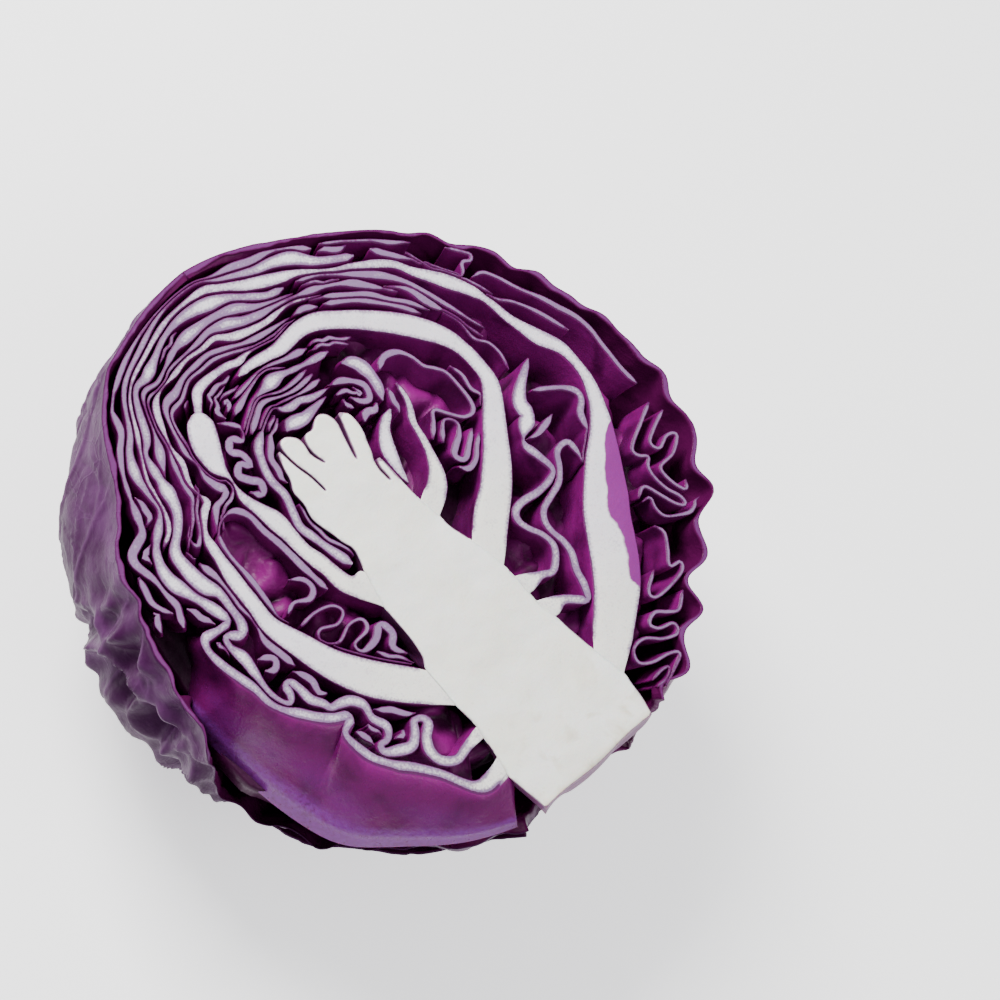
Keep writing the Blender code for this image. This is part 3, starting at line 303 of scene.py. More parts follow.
LEFT_HEART_CRINKLE = (
    (-25.4, 33, 1), (-23, 30.6, 1), (-21.4, 33.4, 1), (-23.4, 35.6, 1), (-25, 38.4, 1),
    (-22.6, 40.4, 1), (-20.6, 38, 1), (-20.4, 42, 1), (-22.4, 44.6, 1), (-20, 47, 1),
    (-17.6, 44.8, 1), (-15.6, 47.4, 1), (-17.6, 50.4, 1), (-20.4, 52.6, 1),
)
RIGHT_TANGLE_1 = (
    (27.4, 11.6, 0.9), (30, 14.6, 0.9), (32.4, 16.2, 0.9), (34.6, 13.6, 0.9), (33, 10.8, 0.9),
    (30, 9, 0.9), (27.6, 7, 0.9), (29.4, 4.6, 0.9), (33.2, 7, 0.9), (37, 9.8, 0.9),
)
RIGHT_TANGLE_2 = (
    (26.6, 4, 0.9), (28.6, 2, 0.9), (32, 2.8, 0.9), (34.6, 5.2, 0.9), (38, 7.8, 0.9),
)
RIGHT_TANGLE_3 = (
    (43.6, 26.6, 0.9), (44.8, 22.6, 0.9), (44.2, 18.4, 0.9), (45.4, 15, 0.9), (43.4, 12.8, 0.9),
)
RIGHT_HEART_1 = (
    (14.6, 36.4, 1), (16.6, 33.6, 1), (19, 33, 1), (20.2, 36.6, 1), (18, 39.6, 1), (15, 41.6, 1),
    (11.6, 42, 1),
)
RIGHT_HEART_2 = (
    (21.6, 30.4, 1.2), (23.4, 34.6, 2.6), (23.8, 39, 3.4), (22.4, 43, 2.4), (19.4, 45, 1.2),
)
RIGHT_HEART_3 = (
    (13.2, 29, 1), (15.4, 30.6, 1), (18, 29.8, 1), (19.6, 31, 1),
)
RIGHT_FLAP = (
    (47.4, -1.6, 1), (51, -2.4, 1.6), (55, -1.8, 2.2), (58.6, -0.8, 1.2),
)
RIGHT_FRILL_5 = (
    (63, -34.6, 0.9), (65.6, -35, 0.9), (64.8, -38.2, 0.9), (65.6, -41.4, 0.9), (69, -43.6, 0.9),
    (73, -45, 0.9), (77, -43.2, 0.9),
)
RIGHT_FRILL_6 = (
    (30.4, -72.4, 0.9), (34.4, -72, 0.9), (37, -72.6, 0.9), (35, -74.4, 0.9), (30.4, -74.6, 0.9),
)


class Flesh(Enum):
    """What a leaf's cut edge is like."""

    RIB = 1.0
    BLADE = 0.55
    SMALL = 0.2


class Origin(Enum):
    """Whether a leaf stands for a solid of the part or is only in the scene."""

    SOLID = "solid"
    SCENE = "scene"


@dataclass
class LeafPlan:
    """One leaf as it shows on the cut face.

    The centre line gives x, y and thickness; the root gives the two corners where it leaves the
    core; the depth is how far its wall reaches below the cut face.
    """

    name: str
    centre: Points
    root: Points = ()
    depth: float = 26.0
    flesh: Flesh = Flesh.SMALL
    origin: Origin = Origin.SOLID
    leans: bool = False


ROOT_MAIN = ((-19.1, -43.4), (-19.0, -31.4))
ROOT_SECOND = ((-16.9, -11.8), (-14.9, -1.6))
ROOT_OUTER_FOLD = ((-19.7, -65.4), (-19.3, -60.6))
ROOT_INNER_FOLD = ((-18.9, -54.6), (-18.9, -51.2))
ROOT_INNER_RIB = ((15.3, -13.2), (17.8, -23.6))
ROOT_OUTER_RIB = ((22.6, -56.0), (25.1, -66.0))
ROOT_LENS = ((11.3, 3.6), (12.8, -2.8))
ROOT_INNER_RIGHT = ((18.2, -27.6), (18.5, -33.6))
ROOT_OUTER_RIGHT = ((18.6, -36.2), (20.1, -42.6))

LEAF_PLANS = (
    LeafPlan("leaf_left_main_rib", MAIN_RIB_LEFT, ROOT_MAIN, 40, Flesh.RIB),
    LeafPlan("leaf_left_second_rib", SECOND_RIB_LEFT, ROOT_SECOND, 40, Flesh.RIB),
    LeafPlan("leaf_left_third_rib", THIRD_RIB_LEFT, (), 26, Flesh.BLADE),
    LeafPlan("leaf_left_outer_fold", OUTER_FOLD_LEFT, ROOT_OUTER_FOLD, 42, Flesh.BLADE, leans=True),
    LeafPlan("leaf_left_inner_fold", INNER_FOLD_LEFT, ROOT_INNER_FOLD, 42, Flesh.BLADE),
    LeafPlan("leaf_left_loose", LOOSE_LEFT, (), 40),
    LeafPlan("leaf_left_pocket", POCKET_LEFT),
    LeafPlan("leaf_left_tangle", TANGLE_LEFT),
    LeafPlan("leaf_right_inner_rib", INNER_RIB_RIGHT, ROOT_INNER_RIB, 40, Flesh.RIB),
    LeafPlan("leaf_right_outer_rib", OUTER_RIB_RIGHT, ROOT_OUTER_RIB, 42, Flesh.RIB),
    LeafPlan("leaf_right_finger", FINGER_RIGHT, (), 26, Flesh.RIB),
    LeafPlan("leaf_right_lens", LENS_RIGHT, ROOT_LENS, 26, Flesh.RIB),
    LeafPlan("leaf_right_inner_fold", INNER_FOLD_RIGHT, ROOT_INNER_RIGHT, 40, Flesh.BLADE),
    LeafPlan("leaf_right_outer_fold", OUTER_FOLD_RIGHT, ROOT_OUTER_RIGHT, 40, Flesh.BLADE),
    LeafPlan("leaf_right_crumple", CRUMPLE_RIGHT),
    LeafPlan("leaf_right_hook", HOOK_RIGHT),
    LeafPlan("leaf_right_shoulder_1", SHOULDER_RIGHT_1),
    LeafPlan("leaf_right_shoulder_2", SHOULDER_RIGHT_2),
    LeafPlan("leaf_right_shoulder_3", SHOULDER_RIGHT_3),
    LeafPlan("leaf_right_frill_1", FRILL_RIGHT_1, (), 12),
    LeafPlan("leaf_right_frill_2", FRILL_RIGHT_2, (), 12),
    LeafPlan("leaf_right_frill_3", FRILL_RIGHT_3, (), 12),
    LeafPlan("leaf_right_frill_4", FRILL_RIGHT_4, (), 12),
    LeafPlan("leaf_arch_1", ARCH_1, (), 40),
    LeafPlan("leaf_arch_2", ARCH_2, (), 40),
    LeafPlan("leaf_arch_3", ARCH_3, (), 26, Flesh.BLADE),
    LeafPlan("leaf_arch_4", ARCH_4),
    *(LeafPlan(name, points, (), depth, origin=Origin.SCENE) for name, points, depth in (
        ("thin_arch_1", ARCH_UNDER_FOLD, 26), ("thin_arch_2", ARCH_MIDDLE, 26),
        ("thin_arch_3", ARCH_INNER_THIN, 18), ("thin_arch_4", THIN_STACK_1, 14),
        ("thin_arch_5", THIN_STACK_2, 14), ("thin_arch_6", THIN_STACK_3, 14),
        ("thin_heart_cap", HEART_CAP, 14), ("thin_right_1", RIGHT_BAND_1, 22),
        ("thin_right_2", RIGHT_BAND_2, 22), ("thin_right_3", RIGHT_BAND_3, 22),
        ("thin_right_4", RIGHT_BAND_4, 22), ("thin_right_5", RIGHT_BAND_5, 16),
        ("thin_right_6", RIGHT_BAND_6, 12), ("curl_left_1", LEFT_CURL_1, 10),
        ("curl_left_2", LEFT_CURL_2, 12), ("curl_left_3", LEFT_SMALL_FOLD, 16),
        ("curl_left_4", LEFT_INNER_FLAP, 20), ("curl_left_5", LEFT_TANGLE_2, 12),
        ("curl_left_6", LEFT_TANGLE_3, 14), ("curl_left_7", LEFT_TANGLE_4, 12),
        ("curl_heart_1", LEFT_HEART_CRINKLE, 14), ("curl_heart_2", RIGHT_HEART_1, 12),
        ("curl_heart_3", RIGHT_HEART_2, 14), ("curl_heart_4", RIGHT_HEART_3, 10),
        ("curl_right_1", RIGHT_TANGLE_1, 12), ("curl_right_2", RIGHT_TANGLE_2, 12),
        ("curl_right_3", RIGHT_TANGLE_3, 14), ("curl_right_4", RIGHT_FLAP, 14),
        ("curl_right_5", RIGHT_FRILL_5, 8), ("curl_right_6", RIGHT_FRILL_6, 8),
    )),
)


def eased(value: Array, start: float, end: float) -> Array:
    """Goes smoothly from 0 at start to 1 at end."""
    share = np.clip((value - start) / (end - start), 0, 1)
    return share * share * (3 - 2 * share)


def unit(vectors: Array) -> Array:
    """Vectors of length one along the last axis."""
    return vectors / np.maximum(np.linalg.norm(vectors, axis=-1, keepdims=True), 1e-9)


@dataclass
class Ripple:
    """A smooth random height: a sum of sine waves that run in random directions."""

    longest: float
    shortest: float
    seed: int
    waves: int = 14
    axes: int = 2
    directions: Array = field(init=False)
    offsets: Array = field(init=False)
    weights: Array = field(init=False)

    def __post_init__(self) -> None:
        """Draws the waves; longer waves weigh more."""
        draw = np.random.default_rng(self.seed)
        lengths = np.geomspace(self.longest, self.shortest, self.waves)
        self.directions = unit(draw.normal(size=(self.waves, self.axes)))
        self.directions *= (2 * math.pi / lengths)[:, None]
        self.offsets = draw.uniform(0, 2 * math.pi, self.waves)
        self.weights = lengths / math.sqrt(float((lengths ** 2).sum()))

    def at(self, points: Array) -> Array:
        """Height at points, about -1 to 1.

        Args:
            points: Places, with one column for each axis.

        Returns:
            The sum of weight * sin(direction . place + offset) over the waves.
        """
        phase = points[..., :self.axes] @ self.directions.T + self.offsets
        return (np.sin(phase) * self.weights).sum(axis=-1)


@dataclass
class Blisters:
    """Round puckers side by side, as on a leaf that grew faster than its veins."""

    pitch: float
    seed: int
    jitter: float = 0.42

    def at(self, points: Array) -> Array:
        """Height of the puckers, 0 in the creases and 1 on top.

        Args:
            points: Places as x and y.

        Returns:
            One minus the squared ratio of the nearest to the second nearest seed's distance.
        """
        cells = points[..., :2] / self.pitch
        base = np.floor(cells)
        near = np.full(cells.shape[:-1], 9.0)
        second = near.copy()
        for dx in (-1, 0, 1):
            for dy in (-1, 0, 1):
                cell = base + np.array([dx, dy])
                shift = self.seed * 1.7
                wobble_x = np.sin(cell[..., 0] * 12.9898 + cell[..., 1] * 78.233 + shift) * 437.585
                wobble_y = np.sin(cell[..., 0] * 39.346 + cell[..., 1] * 11.135 + shift) * 337.545
                wobble = np.stack([wobble_x, wobble_y], axis=-1)
                seeds = cell + 0.5 + self.jitter * (2 * (wobble - np.floor(wobble)) - 1)
                reach = np.linalg.norm(cells - seeds, axis=-1)
                second = np.minimum(second, np.maximum(near, reach))
                near = np.minimum(near, reach)
        return 1 - (near / np.maximum(second, 1e-6)) ** 2


@dataclass
class Head:
    """Sizes and fields that all leaves share, in millimetres of the cut face."""

    taper_centre: tuple[float, float] = (0.0, 12.0)
    taper_depth: float = 42.0
    taper_slope: float = 0.10
    taper_curve: float = 0.12
    sway: float = 2.3            # how far the walls wander sideways below the cut
    sway_depth: float = 12.0
    cut_waves: float = 0.22      # height of the knife's waves on the cut face
    sway_x: Ripple = field(default_factory=lambda: Ripple(46, 17, 3, axes=3))
    sway_y: Ripple = field(default_factory=lambda: Ripple(46, 17, 4, axes=3))
    waves: Ripple = field(default_factory=lambda: Ripple(40, 5, 5))

    def shrink(self, depth: Array) -> Array:
        """Share of the distance from the taper's centre that is left at a depth."""
        part = depth / self.taper_depth
        return 1 - self.taper_slope * part - self.taper_curve * part ** 2

    def settle(self, points: Array) -> Array:
        """Lets points below the cut wander sideways, and waves the cut face a little.

        Args:
            points: Places with z counted from the cut face, which all leaves share, so that
                neighbours stay clear of each other.

        Returns:
            The moved places.
        """
        moved = points.copy()
        depth = np.maximum(-points[..., 2], 0)
        strength = self.sway * (1 - np.exp(-depth / self.sway_depth))
        rim = np.linalg.norm(points[..., :2] - np.array(self.taper_centre), axis=-1)
        strength *= 1 - 0.7 * eased(rim, 60, 78)
        moved[..., 0] += strength * self.sway_x.at(points)
        moved[..., 1] += strength * self.sway_y.at(points)
        moved[..., 2] += self.cut_waves * self.waves.at(points) * (1 - eased(depth, 2, 14))
        return moved


@dataclass
class Skin:
    """The rounded outside of the head.

    Rows give the angle from the stem, then the radius at the left rim, a little below it, at the
    bottom and at the right rim.
    """

    rows: Points = (
        (12, 80.5, 84, 81, 84), (22, 80.8, 83.4, 80.2, 85.4), (30, 81, 82.8, 79.4, 86.8),
        (38, 81.2, 82.6, 78.6, 86.4), (47, 82, 82.8, 77.4, 86), (57, 83.2, 83.2, 76.2, 89.6),
        (65, 84.6, 83.5, 75.4, 92), (70, 85.2, 83.6, 75.2, 92.4), (81, 81.2, 84, 75, 93.4),
        (92, 76.6, 85, 75.1, 92.2), (105, 77.2, 86, 76, 90.4), (113, 76.6, 86.6, 76.8, 89.2),
        (122, 78.4, 88, 77.8, 88), (128, 76.6, 89, 79, 87.2), (137, 78, 89, 81, 86.4),
        (148, 84.6, 88.6, 83.4, 85.6), (157, 88.4, 88.5, 85.6, 85.8), (167, 88.8, 88.8, 88, 87.6),
        (180, 89.5, 89.5, 89.5, 89.5),
    )
    turns: tuple[float, ...] = (0.0, 28.0, 90.0, 180.0)
    mean_radius: float = 80.0

    def radius(self, alpha: Array, beta: Array) -> Array:
        """Distance from the head's middle.

        Args:
            alpha: Angle from the stem, in degrees.
            beta: Turn from the left rim under the head to the right rim, in degrees.

        Returns:
            The radius read off the rows, eased from one column to the next.
        """
        table = np.array(self.rows, float)
        columns = [np.interp(alpha, table[:, 0], table[:, k]) for k in range(1, 5)]
        radius = columns[0]
        for k in range(3):
            share = eased(beta, self.turns[k], self.turns[k + 1])
            mixed = columns[k] * (1 - share) + columns[k + 1] * share
            radius = np.where(beta > self.turns[k], mixed, radius)
        return radius

    def point(self, alpha: Array, beta: Array, inset: Array | float) -> Array:
        """Places that lie inset millimetres inside the skin."""
        radius = self.radius(alpha, beta) * (1 - inset / self.mean_radius)
        a, b = np.radians(alpha), np.radians(beta)
        return np.stack([-radius * np.sin(a) * np.cos(b), -radius * np.cos(a),
                         -radius * np.sin(a) * np.sin(b)], axis=-1)


HEAD = Head()
SKIN = Skin()


def ring_faces(samples: int, around: int) -> Array:
    """Quads of a closed tube with capped ends; the ring runs up one side and down the other."""
    k = np.arange(around)
    base = np.arange(samples - 1)[:, None] * around
    a, b = base + k, base + (k + 1) % around
    walls = np.stack([a, b, b + around, a + around], axis=-1).reshape(-1, 4)
    j = np.arange(around // 2 - 1)
    start = np.stack([around - 1 - j, around - 2 - j, j + 1, j], axis=-1)
    last = (samples - 1) * around
    end = np.stack([j, j + 1, around - 2 - j, around - 1 - j], axis=-1) + last
    return np.concatenate([walls, start, end])


def face_outward(points: Array, faces: Array) -> list[list[int]]:
    """Turns all faces round where the closed surface's signed volume is below zero."""
    flat = points.reshape(-1, 3)
    a, b, c, d = (flat[faces[:, k]] for k in range(4))
    volume = (a * np.cross(b, c)).sum() + (a * np.cross(c, d)).sum()
    return (faces if volume > 0 else faces[:, ::-1]).tolist()


def make_piece(name: str, points: Array, rows: list[list[int]], material: bpy.types.Material,
               layers: dict[str, Array], nodes: tuple[str, ...] = ()) -> bpy.types.Object:
    """Puts a piece into the scene and fixes it to the part.

    Args:
        name: Name of the piece.
        points: Places in millimetres, z counted from the cut face.
        rows: Point numbers of each face, which faces outward.
        material: Its finish.
        layers: Numbers for each point that the finish reads, by name.
        nodes: Solids of the part that it stands for.

    Returns:
        The new object.
    """
    lifted = (points.reshape(-1, 3) + np.array([0, 0, FACE_HEIGHT])) * MM
    mesh = bpy.data.meshes.new(name)
    mesh.from_pydata(lifted.tolist(), [], rows)
    mesh.polygons.foreach_set("use_smooth", np.ones(len(rows), bool))
    for layer, values in layers.items():
        data = mesh.attributes.new(layer, "FLOAT", "POINT").data
        data.foreach_set("value", np.ascontiguousarray(values, np.float32).ravel())
    mesh.materials.append(material)
    mesh.update()
    piece = bpy.data.objects.new(name, mesh)
    bpy.context.scene.collection.objects.link(piece)
    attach(piece, BODY)
    if nodes:
        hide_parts(*nodes)
    LOG.info("%s: %d faces", name, len(rows))
    return piece


@dataclass
class LeafLayout:
    """Fits all leaves side by side on the cut face, so that none touches another."""

    step: float = 1.1            # spacing of points along a leaf while the leaves are fitted
    fine_step: float = 0.7
    gap: float = 0.34            # clearance between leaves
    thinnest: float = 0.5
    fold_reach: float = 5.0      # length of leaf that may lie closer to itself, round a bend
    rim_inset: float = 2.2
    firm_from: float = 3.3       # a rib that is thicker than this keeps its width
    rib_share: float = 1.08
    growth: float = 1.5          # most that a tightly packed leaf may thicken
    growth_step: float = 0.12
    filler_pitch: float = 1.55   # spacing of the thinnest leaves that fill what room is left
    filler_room: float = 1.12
    filler_shortest: float = 9.0
    filler_layers: int = 5
    filler_seed: int = 12
    filler_offset: float = 0.85  # distance of the first one from its neighbour's flank
    filler_wobble: float = 0.34
    filler_margin: float = 0.12
    filler_thickness: float = 0.62
    filler_leap: float = 2.2     # points further apart than this part a filler in two
    wrapper_margin: float = 3.4
    root_margin: float = 3.0
    rounds: tuple[int, int, int] = (14, 20, 12)  # for the solids, the thin leaves, the fillers
    open_places: Points = (
        # x, y, half width, half length of the pockets that stay open
        (-35, 17, 6, 16), (-31, -8, 9, 10), (35, 25, 10, 14), (20, 12, 8, 14), (28, -25, 6, 9),
        (44, -24, 10, 10), (54, -5, 9, 8), (46, 5, 7, 9), (-25, -58, 6, 6), (-28, -48, 4, 5),
        (76, -28, 11, 16), (55, -54, 14, 12), (72, 40, 12, 16), (40, -67, 14, 9), (80, 2, 8, 16),
        (62, 26, 8, 16), (60, 4, 8, 10), (22, -3, 9, 4), (57, -14, 8, 6), (29, 44, 6, 5),
        (-70, -8, 11, 20), (-50, -62, 24, 18), (62, -38, 14, 8), (-59, -34, 13, 17),
        (-50, -45, 8, 8), (-68, 8, 6, 9),
    )

    def packed(self, points: Array) -> Array:
        """How tightly the leaves lie at a place: 0 in an open pocket, 1 elsewhere."""
        closeness = np.ones(len(points))
        for x, y, half_width, half_length in self.open_places:
            far = np.hypot((points[:, 0] - x) / half_width, (points[:, 1] - y) / half_length)
            closeness = np.minimum(closeness, eased(far, 0.8, 1.15))
        return closeness * (1 - 0.7 * eased(points[:, 0] - 0.35 * points[:, 1], 22, 34))

    def grow(self, lines: list[Array], count: int) -> None:
        """Thickens tightly packed leaves step by step until they meet their neighbours."""
        limits = [line[:, 2] + self.growth * self.packed(line) for line in lines[:count]]
        for _ in range(int(self.growth / self.growth_step)):
            steps = []
            for k in range(count):
                _, reach, others, counts = self.neighbours(lines, k)
                both = (lines[k][:, None, 2] + others[None, :, 2]) / 2
                spare = np.where(counts, reach - self.gap - both, 9.0).min(axis=1)
                room = (spare > self.growth_step) & (lines[k][:, 2] < limits[k])
                steps.append(np.convolve(np.pad(room * self.growth_step, 2, mode="edge"),
                                         np.full(5, 0.2), "same")[2:-2] * room)
            for k, step in enumerate(steps):
                lines[k][:, 2] += step

    def fillers(self, lines: list[Array], hosts: int) -> list[Array]:
        """Lays thin leaves alongside the others wherever there is room for one more.

        Args:
            lines: Every leaf and rim laid out so far.
            hosts: How many leaves, from the first, get company.

        Returns:
            The thin leaves.
        """
        made: list[Array] = []
        core = Core().smooth_outline()
        draw = np.random.default_rng(self.filler_seed)
        for k in range(hosts):
            host = lines[k]
            ahead = unit(np.gradient(host[:, :2], axis=0))
            side = np.column_stack([-ahead[:, 1], ahead[:, 0]])
            along = np.arange(len(host)) * self.step
            for way in (1, -1):
                for layer in range(self.filler_layers):
                    wobble = np.sin(along * draw.uniform(0.7, 1.3) + draw.uniform(0, 6))
                    reach = (host[:, 2] / 2 + self.filler_offset + self.filler_pitch * layer
                             + self.filler_wobble * wobble)
                    path = host[:, :2] + way * side * reach[:, None]
                    others = np.vstack(lines + made)
                    gaps = np.linalg.norm(path[:, None] - others[None, :, :2], axis=-1)
                    clear = (gaps - others[None, :, 2] / 2).min(axis=1)
                    inside = self.inside_head(path, core)
                    roomy = clear > self.filler_room / 2 + self.filler_margin
                    good = roomy & (self.packed(path) > 0.6) & inside
                    steps = np.linalg.norm(np.diff(path, axis=0), axis=1)
                    good[1:] &= steps < self.filler_leap
                    marks = np.flatnonzero(np.diff(np.concatenate([[0], good.astype(int), [0]])))
                    for start, stop in zip(marks[::2], marks[1::2]):
                        if (stop - start) * self.step < self.filler_shortest:
                            continue
                        places = path[start:stop:2]
                        thick = np.full(len(places), self.filler_thickness)
                        made.append(self.smooth_line(
                            np.column_stack([places, thick, np.zeros(len(places))]), self.step))
        return made

    def inside_head(self, path: Array, core: Array) -> Array:
        """Which places lie inside the wrappers and outside the core."""
        alpha = np.degrees(np.arctan2(np.abs(path[:, 0]), -path[:, 1]))
        beta = np.where(path[:, 0] > 0, 180.0, 0.0)
        inside = np.hypot(*path.T) < SKIN.radius(alpha, beta) - self.wrapper_margin
        after = np.roll(core, -1, axis=0)
        spans = (core[None, :, 1] > path[:, None, 1]) != (after[None, :, 1] > path[:, None, 1])
        rise = np.where(np.abs(after[:, 1] - core[:, 1]) < 1e-6, 1e-6, after[:, 1] - core[:, 1])
        share = (path[:, None, 1] - core[None, :, 1]) / rise
        crossing = core[None, :, 0] + share * (after[:, 0] - core[:, 0])
        return inside & ((spans & (crossing > path[:, None, 0])).sum(axis=1) % 2 == 0)

    def core_line(self) -> Array:
        """The core's outline away from the roots, which no leaf may touch."""
        core = Core()
        outline = core.smooth_outline()
        away = outline[core.root_distance(outline) > self.root_margin]
        return self.fixed_line(away)

    def smooth_line(self, points: Array, step: float) -> Array:
        """Passes a Catmull-Rom curve through the points and reads it off at even spacing."""
        padded = np.vstack([2 * points[0] - points[1], points, 2 * points[-1] - points[-2]])
        t = np.linspace(0, 1, 10, endpoint=False)[:, None]
        a, b, c, d = (padded[k:len(padded) - 3 + k, None, :] for k in range(4))
        curve = 0.5 * (2 * b + (c - a) * t + (2 * a - 5 * b + 4 * c - d) * t ** 2
                       + (3 * b - a - 3 * c + d) * t ** 3)
        curve = np.vstack([curve.reshape(-1, points.shape[1]), points[-1:]])
        along = np.concatenate([[0], np.cumsum(np.hypot(*np.diff(curve[:, :2], axis=0).T))])
        stops = np.linspace(0, along[-1], max(5, int(round(along[-1] / step)) + 1))
        line = np.column_stack([np.interp(stops, along, column) for column in curve.T])
        line[:, 2] = np.maximum(line[:, 2], self.thinnest)
        return line

    def rims(self) -> list[Array]:
        """The inner edges of the wrappers on the cut face, which no leaf may touch."""
        alpha = np.arange(24.0, 178.0, 0.7)
        rims = []
        for side in (0.0, 180.0):
            points = SKIN.point(alpha, np.full_like(alpha, side), self.rim_inset)
            rims.append(self.fixed_line(points[:, :2]))
        return rims

    def fixed_line(self, places: Array) -> Array:
        """A line without thickness that keeps leaves away."""
        return np.column_stack([places, np.full(len(places), 0.02), np.zeros(len(places))])

    def neighbours(self, lines: list[Array], k: int) -> tuple[Array, Array, Array, Array]:
        """Distances from the points of one leaf to all other points.

        Args:
            lines: Every leaf and rim as x, y, thickness and firmness.
            k: Number of the leaf.

        Returns:
            The offsets, the distances, the other points, and which pairs count.
        """
        own = lines[k]
        others = np.vstack([line for j, line in enumerate(lines) if j != k] + [own])
        offsets = own[:, None, :2] - others[None, :, :2]
        reach = np.hypot(offsets[..., 0], offsets[..., 1])
        counts = np.ones(reach.shape, bool)
        place = np.arange(len(own)) * self.step
        counts[:, -len(own):] = np.abs(place[:, None] - place[None, :]) >= self.fold_reach
        return offsets, reach, others, counts

    def firm_half(self, points: Array) -> Array:
        """Half of the thickness that others must make room for: all of it where a rib is firm."""
        return np.where(points[:, 3] > 0.5, points[:, 2] / 2, self.thinnest / 2)

    def push_apart(self, lines: list[Array], moving: range, rounds: int) -> None:
        """Moves the points of some leaves away from neighbours that leave no room for two."""
        for _ in range(rounds):
            pushes = []
            for k in moving:
                offsets, reach, others, counts = self.neighbours(lines, k)
                room = self.firm_half(lines[k])[:, None] + self.firm_half(others)[None] + self.gap
                lack = np.where(counts & (reach < room), room - reach, 0.0)
                push = (offsets / np.maximum(reach, 1e-6)[..., None] * lack[..., None]).sum(axis=1)
                push *= 0.35
                push *= np.minimum(1, 0.4 / np.maximum(np.hypot(*push.T), 1e-9))[:, None]
                push *= (lines[k][:, 3] < 0.5)[:, None]
                pushes.append(push)
            for k, push in zip(moving, pushes):
                lines[k][:, :2] += push

    def fit_thickness(self, lines: list[Array], count: int) -> None:
        """Thins each leaf where it and its neighbour together would fill the gap between them."""
        for _ in range(3):
            kept = []
            for k in range(count):
                _, reach, others, counts = self.neighbours(lines, k)
                own = lines[k][:, None, 2] / 2
                firm = others[None, :, 3] > 0.5
                theirs = others[None, :, 2] / 2
                room = np.where(firm, reach - self.gap - theirs, (reach - self.gap) * own
                                / np.maximum(own + theirs, 1e-6))
                share = np.where(counts, room / np.maximum(own, 1e-6), 1.0)
                share = np.where(lines[k][:, 3] > 0.5, 1.0, share.min(axis=1))
                kept.append(np.clip(share, 0, 1))
            for k, share in enumerate(kept):
                lines[k][:, 2] = np.maximum(lines[k][:, 2] * share, self.thinnest * 0.8)

    def fit(self, plans: tuple[LeafPlan, ...]) -> list[Array]:
        """Lays all leaves out.

        Args:
            plans: The leaves, those of the part first.

        Returns:
            One line for each leaf, finely spaced, as x, y and thickness.
        """
        lines = []
        for plan in plans:
            points = np.array(plan.centre, float)
            thick = points[:, 2] > self.firm_from
            firm = thick & (plan.flesh is Flesh.RIB)
            points[:, 2] *= np.where(firm, self.rib_share, 1.0)
            lines.append(self.smooth_line(np.column_stack([points, firm]), self.step))
        count = len(lines)
        solids = sum(plan.origin is Origin.SOLID for plan in plans)
        rims = self.rims()
        first = lines[:solids] + rims
        self.push_apart(first, range(solids), self.rounds[0])
        rims.append(self.core_line())
        everything = first[:solids] + lines[solids:] + rims
        self.push_apart(everything, range(solids, count), self.rounds[1])
        self.fit_thickness(everything, count)
        extra = self.fillers(everything, count)
        LOG.info("fillers: %d", len(extra))
        everything = everything[:count] + extra + everything[count:]
        count += len(extra)
        self.push_apart(everything, range(count - len(extra), count), self.rounds[2])
        self.fit_thickness(everything, count)
        self.grow(everything, count)
        fitted = []
        for line in everything[:count]:
            fine = self.smooth_line(line, self.fine_step)
            soft = np.convolve(np.pad(fine[:, 2], 3, mode="edge"), np.full(5, 0.2), "same")[3:-3]
            fine[:, 2] = np.minimum(soft, fine[:, 2] * 1.15)
            fitted.append(fine)
        return fitted


